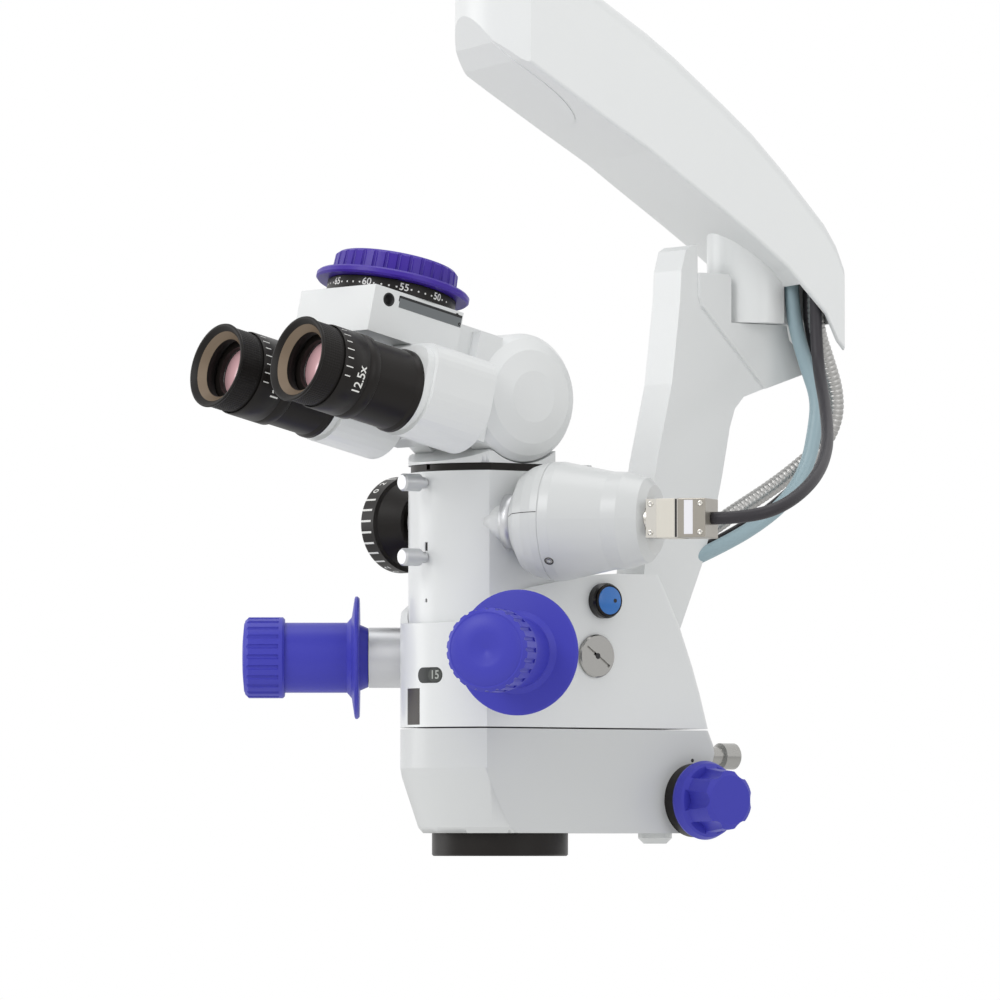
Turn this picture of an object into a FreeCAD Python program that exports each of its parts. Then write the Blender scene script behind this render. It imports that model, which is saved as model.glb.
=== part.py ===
import FreeCAD, Part
import math
import os
import re
import Sketcher

# Ceiling-hung operating microscope head on its carrier arm, in millimetres.
# The origin is the centre of the objective ring's lower face. +Z is up,
# -Y is the side where the surgeon sits, +X is the surgeon's right.

SIZES = {
    "objective_radius": 35.8, "objective_bore": 30.0, "objective_ring_height": 12.0,
    "objective_seat": 27.0, "thread_depth": 5.0,
    "front_radius": 52.5, "housing_half": 37.5, "wall": 4.0, "seam": 0.8,
    "lower_top": 66.5, "lower_back": 116.5, "lower_foot": 102.0, "lower_floor": 12.0,
    "main_front_top": 121.5, "main_side_top": 148.5, "main_back": 112.0, "main_shoulder": 76.5,
    "column_radius": 48.3, "column_half": 35.0, "column_foot": 118.0, "column_seam_low": 140.2,
    "column_seam_high": 159.5, "column_top": 201.0, "column_bore": 27.0,
    "collar_height": 4.0, "collar_radius": 47.0, "fit": 0.3,
    "pivot_y": -11.0, "pivot_z": 239.5, "knuckle_radius": 30.0, "knuckle_half": 17.0,
    "cheek_radius": 33.5, "cheek_inner": 17.5, "cheek_outer": 44.0, "pivot_pin_radius": 8.0,
    "tube_tilt": 12.8, "eye_half": 36.0, "eye_drop": 17.8,
    "bridge_near": 46.0, "bridge_far": 104.0, "bridge_low": 9.0, "bridge_high": 33.5,
    "bridge_half": 33.0, "ear_near": 36.7, "web_half": 38.0,
    "ear_step": 75.5, "ear_far": 80.0, "ear_half": 26.0, "ear_inset": 2.5,
    "barrel_radius": 21.0, "barrel_length": 28.0, "diopter_radius": 22.3, "diopter_length": 15.0,
    "cup_radius": 22.5, "cup_length": 23.3, "eye_lens_radius": 12.5,
    "dial_at": 70.2, "dial_radius": 34.0, "dial_height": 6.5,
    "knob_flange": 40.5, "knob_flange_height": 4.0, "knob_radius": 32.5, "knob_height": 15.0,
    "rib_radius": 1.3,
    "grip_angle": 37.0, "grip_cross": 52.0, "grip_level": 105.0, "grip_start": 62.0,
    "sleeve_radius": 16.0, "grip_flange_at": 116.0, "grip_flange_radius": 32.5,
    "grip_flange_thick": 2.6, "grip_body_radius": 18.6, "grip_body_length": 37.0,
    "grip_end_radius": 21.5, "grip_end_length": 21.0, "grip_spindle": 9.0,
    "port_level": 174.0, "side_level": 177.0, "port_radius": 15.0, "port_reach": 30.0,
    "ring_radius": 25.8,
    "ring_width": 12.0, "ring_cone": 13.0,
    "camera_angle": 34.0, "camera_start": -22.7, "camera_radius": 31.0, "camera_length": 82.0,
    "plug_offset": 11.0, "plug_width": 22.0, "plug_height": 20.0, "plug_length": 32.0,
    "plug_nose": 7.4,
    "thumb_low": 156.0, "thumb_high": 195.0, "thumb_radius": 4.6,
    "dof_y": 39.2, "dof_z": 134.0, "dof_radius": 9.3, "cap_y": 34.5, "cap_z": 104.9,
    "cap_radius": 11.3, "star_y": 100.0, "star_z": 29.4, "star_base": 19.5, "star_flange": 20.5,
    "star_radius": 17.0, "star_lobes": 6, "rear_screw_x": 28.0, "rear_screw_z": 53.0,
    "rear_screw_radius": 7.0, "rear_screw_length": 19.4,
    "swivel_y": 170.0, "arm_yaw": 16.0, "arm_half": 46.0, "arm_end": 167.0,
    "arm_top_edge": 9.0, "arm_low_edge": 2.0, "cover_thick": 0.5, "cover_half": 33.0,
    "cover_length": 68.0, "cover_at": 139.0,
    "leg_half": 12.0, "block_half": 14.0, "boss_radius": 24.0,
    "block_top": 286.0, "boss_low": 286.3, "boss_high": 336.8, "shaft_radius": 11.0, "shaft_low": 268.0,
    "shaft_top": 318.0,
    "collar_top": 502.0, "stand_at": 128.0, "stand_radius": 34.0, "stand_bore": 14.0,
    "bolt_circle": 56.0, "bolt_count": 6, "bolt_bore": 2.7, "slot_half": 22.0,
    "hose_diameter": 8.0, "conduit_diameter": 9.0, "lead_diameter": 6.6,
}

doc = FreeCAD.newDocument("microscope")
sheet = doc.addObject("Spreadsheet::Sheet", "dims")
for row, (alias, number) in enumerate(SIZES.items(), 1):
    sheet.set("A%d" % row, alias)
    sheet.set("B%d" % row, str(number))
    sheet.setAlias("B%d" % row, alias)
doc.recompute()
d = {alias: float(sheet.get(alias)) for alias in SIZES}
kept = []


def linked(text):
    """A formula whose words are aliases becomes one that reads them from the sheet."""
    return re.sub(r"[a-z_]+", lambda word: "dims." + word.group(0), text)


def bind(thing, **formulas):
    for name, text in formulas.items():
        thing.setExpression(name, linked(text))
    return thing


def vector(x, y, z):
    return FreeCAD.Vector(x, y, z)


def facing(base, direction, across=None):
    """A placement whose own Z axis points along the direction, from the base."""
    axis_z = vector(*direction).normalize()
    hint = vector(*across) if across else vector(1, 0, 0)
    if abs(hint.normalize().dot(axis_z)) > 0.99:
        hint = vector(0, 0, 1)
    axis_x = (hint - axis_z * hint.dot(axis_z)).normalize()
    axis_y = axis_z.cross(axis_x)
    turn = FreeCAD.Rotation(axis_x, axis_y, axis_z, "ZXY")
    return FreeCAD.Placement(vector(*base), turn)


def at(x=0, y=0, z=0):
    return FreeCAD.Placement(vector(x, y, z), FreeCAD.Rotation())


def cylinder(name, radius, height, place=None):
    thing = bind(doc.addObject("Part::Cylinder", name), Radius=radius, Height=height)
    thing.Placement = place or at()
    return thing


def box(name, x_size, y_size, z_size, place=None):
    thing = bind(doc.addObject("Part::Box", name), Length=x_size, Width=y_size, Height=z_size)
    thing.Placement = place or at()
    return thing


def cut(name, base, *tools):
    thing = doc.addObject("Part::Cut", name)
    thing.Base = base
    thing.Tool = tools[0] if len(tools) == 1 else fuse(name + "_tools", *tools)
    return thing


def fuse(name, *pieces):
    thing = doc.addObject("Part::MultiFuse", name)
    thing.Shapes = list(pieces)
    thing.Refine = True
    return thing


def common(name, first, second):
    thing = doc.addObject("Part::Common", name)
    thing.Base = first
    thing.Tool = second
    return thing


def rounded(name, base, radius, chosen):
    """A fillet of one radius on the edges that the test picks."""
    doc.recompute()
    thing = doc.addObject("Part::Fillet", name)
    thing.Base = base
    edges = base.Shape.Edges
    thing.Edges = [(i, radius, radius) for i, edge in enumerate(edges, 1) if chosen(edge)]
    return thing


def outline(body, role, points):
    """A closed sketch of straight lines through points that are formulas."""
    plane = [part for part in body.Origin.OriginFeatures if part.Role == role][0]
    sketch = body.newObject("Sketcher::SketchObject", body.Name + "_sketch")
    sketch.AttachmentSupport = (plane, [""])
    sketch.MapMode = "FlatFace"
    count = len(points)
    ring = [vector(math.cos(2 * math.pi * i / count), math.sin(2 * math.pi * i / count), 0)
            for i in range(count)]
    for i in range(count):
        sketch.addGeometry(Part.LineSegment(ring[i], ring[(i + 1) % count]), False)
    for i in range(count):
        sketch.addConstraint(Sketcher.Constraint("Coincident", i, 2, (i + 1) % count, 1))
    for i, point in enumerate(points):
        for kind, text in zip(("DistanceX", "DistanceY"), point):
            number = sketch.addConstraint(Sketcher.Constraint(kind, -1, 1, i, 1, 1.0))
            sketch.setExpression("Constraints[%d]" % number, linked(text))
    return sketch


def turned(name, points, place=None):
    """A body turned about its own Z axis: each point is a radius and a height."""
    body = doc.addObject("PartDesign::Body", name)
    sketch = outline(body, "XZ_Plane", points)
    spin = body.newObject("PartDesign::Revolution", name + "_spin")
    spin.Profile = sketch
    spin.ReferenceAxis = (sketch, ["V_Axis"])
    spin.Angle = 360
    body.Placement = place or at()
    return body


def padded(name, role, points, thick, place=None):
    """A body padded evenly to both sides of its sketch plane."""
    body = doc.addObject("PartDesign::Body", name)
    sketch = outline(body, role, points)
    pad = bind(body.newObject("PartDesign::Pad", name + "_pad"), Length=thick)
    pad.Profile = sketch
    pad.Midplane = True
    body.Placement = place or at()
    return body


def keep(thing, label):
    """Marks a finished sub-part with the name of its file."""
    thing.Label = label
    kept.append(thing)
    return thing


def solid(label, shape):
    """A finished sub-part whose shape no feature makes."""
    return keep(plain(label + "_shape", shape), label)


def plain(name, shape):
    thing = doc.addObject("Part::Feature", name)
    thing.Shape = shape
    return thing


def rear_corner(edge):
    """True for the upright edges at the back corners of a housing."""
    middle = edge.CenterOfMass
    span = edge.BoundBox
    return middle.y > 100 and abs(abs(middle.x) - d["housing_half"]) < 0.1 and span.ZLength > 1


# Housings: a round front about the optical axis, with flat sides to the back.

def plan(name, radius, half, low, high, back):
    """Upright block: round in front of the axis, flat-sided, and straight to the back."""
    nose = cylinder(name + "_nose", radius, high + " - " + low, at(0, 0, number(low)))
    tail = box(name + "_tail", "2 * " + half, back, high + " - " + low,
               at(-number(half), 0, number(low)))
    width = box(name + "_width", "2 * " + half, radius + " + " + back, high + " - " + low,
                at(-number(half), -number(radius), number(low)))
    return common(name, fuse(name + "_both", nose, tail), width)


def number(text):
    """The value of a sum of aliases and plain numbers."""
    total = 0.0
    sign = 1
    for word in text.split():
        if word in ("+", "-"):
            sign = 1 if word == "+" else -1
        else:
            total += sign * (d[word] if word in d else float(word))
    return total


def barrel(name, radius, half, low, high):
    """Upright round block with two flat sides."""
    disc = cylinder(name + "_disc", radius, high + " - " + low, at(0, 0, number(low)))
    slab = box(name + "_slab", "2 * " + half, "2 * " + radius, high + " - " + low,
               at(-number(half), -number(radius), number(low)))
    return common(name, disc, slab)


def lower_housing():
    side = padded("lower_side", "YZ_Plane", [
        ("0 - front_radius", "lower_floor + 34"), ("0 - front_radius + 1", "lower_floor + 29"),
        ("0 - front_radius + 9.5", "lower_floor + 3"), ("0 - front_radius + 12", "lower_floor"),
        ("lower_foot", "lower_floor"),
        ("lower_back", "lower_floor + 42"), ("lower_back - 1", "lower_floor + 47"),
        ("main_back", "lower_top"), ("0 - front_radius", "lower_top")], "2 * housing_half")
    block = common("lower_block", side, plan("lower_plan", "front_radius", "housing_half",
                                             "lower_floor", "lower_top", "lower_back"))
    block = rounded("lower_round", block, 4.0, rear_corner)
    room = plan("lower_room", "43", "33.5", "20", "lower_top", "94")
    lens_hole = cylinder("lower_lens_hole", "objective_bore", "wall + 20", at(0, 0, d["lower_floor"] - 5))
    star_hole = cylinder("lower_star_hole", "4.3", "20", facing((25, d["star_y"], d["star_z"]), (1, 0, 0)))
    rear_hole = cylinder("lower_rear_hole", "4.3", "30",
                         facing((d["rear_screw_x"], 90, d["rear_screw_z"]), (0, 1, 0)))
    keep(cut("lower_cut", block, room, lens_hole, star_hole, rear_hole), "lower_housing")


def main_housing():
    side = padded("main_side", "YZ_Plane", [
        ("0 - front_radius", "lower_top + seam"), ("main_back", "lower_top + seam"),
        ("main_back - 5.5", "lower_top + 19"), ("main_back - 10.5", "lower_top + 33.5"),
        ("main_back - 19", "lower_top + 54.5"), ("main_back - 24.7", "lower_top + 65.5"),
        ("main_shoulder", "main_side_top"), ("48.5", "main_side_top"), ("30", "main_side_top - 1.3"),
        ("9", "main_side_top - 5"), ("0 - 7", "main_side_top - 8"),
        ("0 - 28", "main_side_top - 13"), ("0 - 37", "main_side_top - 20"),
        ("0 - 42", "main_front_top + 1"), ("0 - front_radius", "main_front_top")],
        "2 * housing_half")
    block = common("main_block", side, plan("main_plan", "front_radius", "housing_half",
                                            "lower_top", "160", "lower_back"))
    block = rounded("main_round", block, 4.0, rear_corner)
    socket = barrel("column_socket", "column_radius + fit", "column_half + fit", "column_foot", "170")
    room = plan("main_room", "43", "33.5", "60", "112", "78")
    leg_slot = box("leg_slot", "2 * leg_half + 1", "60", "100",
                   at(-d["leg_half"] - 0.5, 78, 78))
    bore = cylinder("main_bore", "column_bore", "40", at(0, 0, 100))
    window = box("window_seat", "19", "12", "9", at(-2, -54.5, 89.8))
    label = box("sensor_seat", "13", "12", "19", at(-13, -54.5, 68.6))
    tools = [socket, room, leg_slot, bore, window, label]
    for sign, word in ((1, "right"), (-1, "left")):
        base, way = grip_line(sign, 20)
        tools.append(cylinder(word + "_grip_hole", "grip_spindle + fit", "60", facing(base, way)))
    tools.append(cylinder("dof_hole", "4.3", "20", facing((35.5, d["dof_y"], d["dof_z"]), (1, 0, 0))))
    tools.append(cylinder("cap_hole", "6.3", "20", facing((25, d["cap_y"], d["cap_z"]), (1, 0, 0))))
    keep(cut("main_cut", block, *tools), "main_housing")


def objective():
    ring = turned("objective_ring_body", [
        ("objective_bore", "0"), ("objective_radius - 0.8", "0"), ("objective_radius", "0.8"),
        ("objective_radius", "objective_ring_height"), ("objective_seat - 2", "objective_ring_height"),
        ("objective_seat - 2", "objective_ring_height - 1.5"),
        ("objective_seat", "objective_ring_height - 1.5"), ("objective_seat", "thread_depth"),
        ("objective_bore", "thread_depth")])
    keep(ring, "objective_ring")
    lens = turned("objective_lens_body", [
        ("0", "thread_depth + 1"), ("objective_seat - 4", "thread_depth + 1.8"),
        ("objective_seat - 0.02", "thread_depth + 2.5"),
        ("objective_seat - 0.02", "objective_ring_height - 1.51"),
        ("0", "objective_ring_height - 1.51")])
    keep(lens, "objective_lens")


# Inside the main housing: the chassis, the zoom tubes and their drive.

def inner_works():
    plate = plan("chassis_plan", "42", "33", "70", "74", "77")
    holes = [cylinder("chassis_hole_%d" % i, "11", "10", at(x, 0, 68)) for i, x in enumerate((-13, 13))]
    keep(cut("chassis_cut", plate, *holes), "chassis_plate")
    for sign, word in ((1, "right"), (-1, "left")):
        keep(turned(word + "_zoom_body", [
            ("8.5", "70"), ("10.95", "70"), ("10.95", "98"), ("8.5", "98")], at(13 * sign, 0, 0)),
            word + "_zoom_tube")


# Column of three stacked modules that carries the viewing tube.

def column():
    heights = ("column_foot", "column_seam_low", "column_seam_high", "column_top")
    labels = ("filter_module", "spacer_module", "splitter_module")
    for i, label in enumerate(labels):
        block = barrel(label + "_block", "column_radius", "column_half", heights[i], heights[i + 1])
        tools = [cylinder(label + "_bore", "column_bore", "100", at(0, 0, number(heights[i]) - 5))]
        if label == "splitter_module":
            tools.append(box("latch_slot", "2.4", "5", "5",
                             at(-1.2, -50, d["column_seam_high"] - 0.5)))
            tools.append(cylinder("high_thumb_hole", "2.1", "22",
                                  facing((0, -50, d["thumb_high"]), (0, 1, 0))))
            tools.append(cylinder("camera_hole", "9", "30",
                                  facing((20, d["camera_start"] - 10, d["port_level"]), camera_way())))
            tools.append(cylinder("port_hole", "9", "30",
                                  facing((-20, 0, d["side_level"]), (-1, 0, 0))))
        if label == "filter_module":
            tools.append(cylinder("pin_hole", "1.1", "4", facing((0, -50, 133.5), (0, 1, 0))))
        if label == "spacer_module":
            tools.append(cylinder("low_thumb_hole", "2.1", "22",
                                  facing((0, -50, d["thumb_low"]), (0, 1, 0))))
        keep(cut(label + "_cut", block, *tools), label)
    keep(box("prism_box", "40", "18", "18", at(-20, -9, 165)), "splitter_prism")
    shelf = cylinder("prism_shelf_disc", "column_bore", "4", at(0, 0, 161))
    keep(cut("prism_shelf_cut", shelf, *[
        cylinder("shelf_hole_%d" % i, "6", "8", at(x, 0, 159)) for i, x in enumerate((-13, 13))]),
        "prism_shelf")


def thumb_screws():
    for word, level in (("upper", d["thumb_high"]), ("lower", d["thumb_low"])):
        keep(turned(word + "_thumb_body", [
            ("0", "0 - 14"), ("2", "0 - 14"), ("2", "0.4"), ("3", "1"), ("3", "4"),
            ("thumb_radius", "5"), ("thumb_radius", "15"), ("thumb_radius - 0.8", "16"), ("0", "16")],
            facing((0, -d["column_radius"], level), (0, -1, 0))), word + "_thumb_screw")


def camera_way():
    angle = math.radians(d["camera_angle"])
    return (math.cos(angle), math.sin(angle), 0)


def camera():
    """Camera module on the right port: a clamp cone, then a body that narrows."""
    way = camera_way()
    base = (d["column_half"], d["camera_start"], d["port_level"])
    place = facing(base, way, (way[1], -way[0], 0))
    blocker = box("camera_trim", "60", "200", "200", at(d["column_half"] - 60, -100, 74))
    neck = turned("camera_neck_body", [
        ("0", "0 - 10"), ("14", "0 - 10"), ("15", "7"), ("0", "7")], place)
    keep(cut("camera_neck_cut", neck, blocker), "camera_neck")
    clamp = turned("camera_clamp_body", [
        ("0", "7"), ("16.5", "7"), ("25.5", "12"), ("28.6", "17.5"), ("30.3", "23"),
        ("camera_radius - 0.2", "27"), ("0", "27")], place)
    flat = box("camera_clamp_trim", "60", "200", "200", at(d["column_half"] + 0.4 - 60, -100, 74))
    keep(cut("camera_clamp_cut", clamp, flat), "camera_clamp")
    body = turned("camera_body_turned", [
        ("0", "27"), ("camera_radius - 0.5", "27"), ("camera_radius", "28"), ("camera_radius", "33"),
        ("camera_radius - 5.5", "60"), ("camera_radius - 5.8", "68"),
        ("camera_radius - 9", "camera_length - 3.5"), ("camera_radius - 13", "camera_length"),
        ("0", "camera_length")], place)
    spot = place.multVec(vector(d["plug_offset"], 0, d["camera_length"] - 12))
    socket = cylinder("camera_socket", "plug_nose + fit", "40", facing(spot, way))
    keep(cut("camera_body_cut", body, socket), "camera_body")
    nose_spot = place.multVec(vector(d["plug_offset"], 0, d["camera_length"] - 11.9))
    nose = cylinder("plug_nose_disc", "plug_nose", "14", facing(nose_spot, way))
    shell_spot = place.multVec(vector(
        d["plug_offset"] - d["plug_width"] / 2, -d["plug_height"] / 2, d["camera_length"] + 2))
    shell = box("plug_shell", "plug_width", "plug_height", "plug_length",
                facing(shell_spot, way, (way[1], -way[0], 0)))
    keep(fuse("plug_fuse", nose, shell), "camera_plug")
    return place


def side_port():
    place = facing((-d["column_half"], 0, d["side_level"]), (-1, 0, 0))
    keep(turned("port_tube_body", [
        ("0", "0"), ("port_radius", "0"), ("port_radius", "port_reach - 3"), ("8", "port_reach"),
        ("8", "port_reach + ring_cone + ring_width - 3"), ("0", "port_reach + ring_cone + ring_width - 3")],
        place), "port_tube")
    keep(turned("port_ring_body", [
        ("8 + 0.2", "port_reach + 1"), ("port_radius + 0.5", "port_reach - 1"),
        ("port_radius + 3", "port_reach - 1"), ("ring_radius - 2", "port_reach + ring_cone - 1"),
        ("ring_radius", "port_reach + ring_cone"),
        ("ring_radius", "port_reach + ring_cone + ring_width - 1"),
        ("ring_radius - 1", "port_reach + ring_cone + ring_width"),
        ("8 + 0.2", "port_reach + ring_cone + ring_width")], place), "port_ring")


# Tiltable viewing tube.

def tube_base():
    ring = cylinder("collar_disc", "collar_radius", "collar_height", at(0, 0, d["column_top"]))
    trim = box("collar_slab", "2 * column_half - 1", "2 * collar_radius", "collar_height",
               at(-d["column_half"] + 0.5, -d["collar_radius"], d["column_top"]))
    keep(cut("collar_cut", common("collar_common", ring, trim),
             cylinder("collar_bore", "column_bore", "20", at(0, 0, d["column_top"] - 5)),
             box("collar_notch", "3", "4", "3", at(-1.5, -49, d["column_top"] + 1))), "tube_collar")
    low = d["column_top"] + d["collar_height"]
    block = common("base_barrel", cylinder("base_disc", "column_radius", "22", at(0, 0, low)),
                   box("base_slab", "2 * column_half", "2 * column_radius", "22",
                       at(-d["column_half"], -d["column_radius"], low)))
    rear = box("base_rear_trim", "2 * column_half + 2", "60", "22",
               at(-d["column_half"] - 1, 10, low + 9))
    block = cut("base_block", block, rear)
    stem = box("base_stem", "2 * knuckle_half", "2 * knuckle_radius - 6", "pivot_z - column_top - collar_height",
               at(-d["knuckle_half"], d["pivot_y"] - d["knuckle_radius"] + 3, low))
    drum = cylinder("base_drum", "knuckle_radius", "2 * knuckle_half",
                    facing((-d["knuckle_half"], d["pivot_y"], d["pivot_z"]), (1, 0, 0)))
    body = fuse("base_fuse", block, stem, drum)
    tools = [cylinder("base_pin_hole", "pivot_pin_radius", "100",
                      facing((-50, d["pivot_y"], d["pivot_z"]), (1, 0, 0)))]
    for sign, word in ((1, "right"), (-1, "left")):
        start = sign * d["cheek_inner"] - sign * 0.3 if sign > 0 else -60
        tools.append(cylinder(word + "_cheek_room", "cheek_radius + 1", "60 - cheek_inner + fit",
                              facing((start, d["pivot_y"], d["pivot_z"]), (1, 0, 0))))
    tools.append(cylinder("front_room", "48", "100",
                          facing((-50, d["pivot_y"] - 45, d["pivot_z"] + 14), (1, 0, 0))))
    keep(cut("base_cut", body, *tools), "tube_base")
    keep(cylinder("pivot_pin_rod", "pivot_pin_radius", "2 * cheek_inner + 16",
                  facing((-d["cheek_inner"] - 8, d["pivot_y"], d["pivot_z"]), (1, 0, 0))), "pivot_pin")


def tube_place():
    """The viewing tube's frame: X across, Y towards the eyepieces, Z up from its top."""
    tilt = math.radians(d["tube_tilt"])
    return FreeCAD.Placement(
        vector(0, d["pivot_y"], d["pivot_z"]),
        FreeCAD.Rotation(vector(-1, 0, 0), vector(0, -math.cos(tilt), math.sin(tilt)),
                         vector(0, math.sin(tilt), math.cos(tilt)), "ZXY"))


def tube_spot(x, along, up):
    """A point of the tube's frame, with X to the surgeon's right."""
    spot = tube_place().multVec(vector(-x, along, up))
    return (spot.x, spot.y, spot.z)


def tube_forward():
    tilt = math.radians(d["tube_tilt"])
    return (0, -math.cos(tilt), math.sin(tilt))


def tube_up():
    tilt = math.radians(d["tube_tilt"])
    return (0, math.sin(tilt), math.cos(tilt))


def tube_housing():
    place = tube_place()
    pieces = []
    for sign, word in ((1, "right"), (-1, "left")):
        pieces.append(turned(word + "_cheek", [
            ("0", "cheek_inner"), ("cheek_radius", "cheek_inner"), ("cheek_radius", "cheek_outer - 10"),
            ("cheek_radius - 3", "cheek_outer - 6"), ("cheek_radius - 9", "cheek_outer - 2"),
            ("cheek_radius - 20", "cheek_outer"), ("0", "cheek_outer")],
            facing((0, d["pivot_y"], d["pivot_z"]), (sign, 0, 0))))
    web = box("tube_web", "2 * web_half", "ear_near - 22", "56",
              place.multiply(at(-d["web_half"], 22, -30)))
    roof = box("tube_roof", "2 * bridge_half - 4", "bridge_near - 20", "16",
               place.multiply(at(-d["bridge_half"] + 2, 20, 12)))
    tools = [cylinder("tube_pin_hole", "pivot_pin_radius + 0.03", "2 * cheek_inner + 16.6",
                      facing((-d["cheek_inner"] - 8.3, d["pivot_y"], d["pivot_z"]), (1, 0, 0)))]
    tools.append(cylinder("tube_knuckle_room", "knuckle_radius + 1.2", "2 * cheek_inner",
                          facing((-d["cheek_inner"], d["pivot_y"], d["pivot_z"]), (1, 0, 0))))
    keep(cut("tube_cut", fuse("tube_fuse", *pieces, web, roof), *tools), "tube_housing")


def bridge():
    place = tube_place()
    block = box("bridge_box", "2 * bridge_half", "bridge_far - bridge_near", "bridge_high - bridge_low",
                place.multiply(at(-d["bridge_half"], d["bridge_near"], d["bridge_low"])))
    slots = [box("bridge_slot_%d" % i, "6", "36", "3",
                 place.multiply(at(x, d["bridge_near"] + 6, d["bridge_high"] - 5)))
             for i, x in enumerate((-d["bridge_half"] - 3, d["bridge_half"] - 3))]
    holes = cylinder("bridge_holes", "3.6", "200", facing(tube_spot(-100, 94.2, 27.7), (1, 0, 0)))
    keep(cut("bridge_cut", block, *slots, holes), "prism_bridge")
    keep(turned("scale_ring_body", [
        ("0", "bridge_high"), ("dial_radius", "bridge_high"), ("dial_radius", "bridge_high + dial_height"),
        ("6", "bridge_high + dial_height"), ("6", "bridge_high + dial_height + 10"),
        ("0", "bridge_high + dial_height + 10")],
        facing(tube_spot(0, d["dial_at"], 0), tube_up(), (1, 0, 0))), "spacing_scale")


def ribbed(name, points, place, count, radius, low, high, across):
    """A turned cap with small upright ribs evenly round its edge."""
    cap = turned(name + "_turned", points, place)
    ribs = []
    for i in range(count):
        angle = 2 * math.pi * i / count
        spot = place.multVec(vector(radius * math.cos(angle), radius * math.sin(angle), low))
        axis = place.Rotation.multVec(vector(0, 0, 1))
        ribs.append(Part.makeCylinder(across, high - low, spot, axis))
    bars = plain(name + "_bars", Part.makeCompound(ribs))
    return cut(name + "_cut", cap, bars)


def spacing_knob():
    place = facing(tube_spot(0, d["dial_at"], 0), tube_up(), (1, 0, 0))
    base = "bridge_high + dial_height + fit"
    points = [("6 + 0.05", base), ("dial_radius + 1", base), ("knob_flange - 1", base),
              ("knob_flange", base + " + 1"), ("knob_flange", base + " + knob_flange_height - 1"),
              ("knob_flange - 1", base + " + knob_flange_height"),
              ("knob_radius + 0.5", base + " + knob_flange_height"),
              ("knob_radius", base + " + knob_height - 1.5"),
              ("knob_radius - 1.5", base + " + knob_height"), ("6 + 0.05", base + " + knob_height")]
    low = d["bridge_high"] + d["dial_height"] + d["fit"] + d["knob_flange_height"] + 1
    keep(ribbed("spacing_knob", points, place, 32, d["knob_radius"] + 0.5, low,
                low + d["knob_height"], d["rib_radius"]), "spacing_knob")


def ear_profile(sign, inset):
    """Outline across one eyepiece carrier: flat inside and on top, round outside and below."""
    centre = d["eye_half"]
    reach = d["ear_half"] - 1.5 - inset
    inner = centre - d["ear_half"] + 4.2 + inset
    top = d["bridge_low"] - d["fit"] - inset
    low = 1 - d["eye_drop"]
    spots = [(inner, top)]
    for turn in range(90, -1, -15):
        angle = math.radians(turn)
        spots.append((centre + reach - 11 + 11 * math.cos(angle), top - 11 + 11 * math.sin(angle)))
    for turn in range(0, -171, -10):
        angle = math.radians(turn)
        spots.append((centre + reach * math.cos(angle), low + (reach - 1.2) * math.sin(angle)))
    spots = [(max(x, inner), z) for x, z in spots]
    spots.append((inner, low - 8))
    tidy = [spots[0]]
    for spot in spots[1:]:
        if math.dist(spot, tidy[-1]) > 0.2:
            tidy.append(spot)
    return [("0 - (%.3f)" % (x * sign), "0 + (%.3f)" % z) for x, z in tidy]


def eyepieces():
    place = tube_place()
    for sign, word in ((1, "right"), (-1, "left")):
        x = sign * d["eye_half"]
        back = d["ear_near"] + 0.6
        parts = [padded(word + "_ear_body", "XZ_Plane", ear_profile(sign, 0), "ear_step - ear_near - 0.6",
                        place.multiply(at(0, (back + d["ear_step"]) / 2, 0))),
                 padded(word + "_ear_rim", "XZ_Plane", ear_profile(sign, d["ear_inset"]),
                        "ear_far - ear_near - 0.6", place.multiply(at(0, (back + d["ear_far"]) / 2, 0)))]
        keep(fuse(word + "_ear_fuse", *parts), word + "_ear")
        axis_place = facing(tube_spot(x, d["ear_far"], -d["eye_drop"]), tube_forward())
        keep(turned(word + "_barrel_body", [
            ("13", "0"), ("barrel_radius + 1", "0"), ("barrel_radius + 1", "2"),
            ("barrel_radius", "4"), ("barrel_radius", "barrel_length"),
            ("17", "barrel_length"), ("17", "barrel_length + 26"), ("13", "barrel_length + 26")],
            axis_place), word + "_barrel")
        keep(turned(word + "_diopter_body", [
            ("17.05", "barrel_length + fit"), ("diopter_radius", "barrel_length + fit"),
            ("diopter_radius", "barrel_length + diopter_length - 2"),
            ("diopter_radius - 1", "barrel_length + diopter_length"),
            ("17.05", "barrel_length + diopter_length")], axis_place), word + "_diopter_ring")
        seat = "barrel_length + diopter_length"
        keep(turned(word + "_cup_body", [
            ("17.05", seat + " + 1.3"), ("cup_radius - 2", seat + " + 1.3"),
            ("cup_radius - 1.6", seat + " + 2"), ("cup_radius - 1.6", seat + " + 9"),
            ("cup_radius - 2.4", seat + " + 10"), ("cup_radius - 1.6", seat + " + 15"),
            ("cup_radius", seat + " + cup_length - 1"), ("cup_radius", seat + " + cup_length"),
            ("cup_radius - 1.2", seat + " + cup_length"), ("15.5", seat + " + 17.5"),
            ("15.5", seat + " + 13"), ("17.05", seat + " + 13")], axis_place), word + "_eyecup")
        keep(turned(word + "_eye_lens_body", [
            ("0", "barrel_length + 16"), ("eye_lens_radius", "barrel_length + 16"),
            ("eye_lens_radius + 0.5", "barrel_length + 20"), ("8", "barrel_length + 22.5"),
            ("0", "barrel_length + 23.4")], axis_place), word + "_eye_lens")


# Hand grips: a fixed sleeve on the housing and a turning sterile cap.

def grip_line(sign, reach):
    angle = math.radians(d["grip_angle"])
    way = (sign * math.sin(angle), -math.cos(angle), 0)
    base = (way[0] * reach, d["grip_cross"] + way[1] * reach, d["grip_level"])
    return base, way


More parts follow.
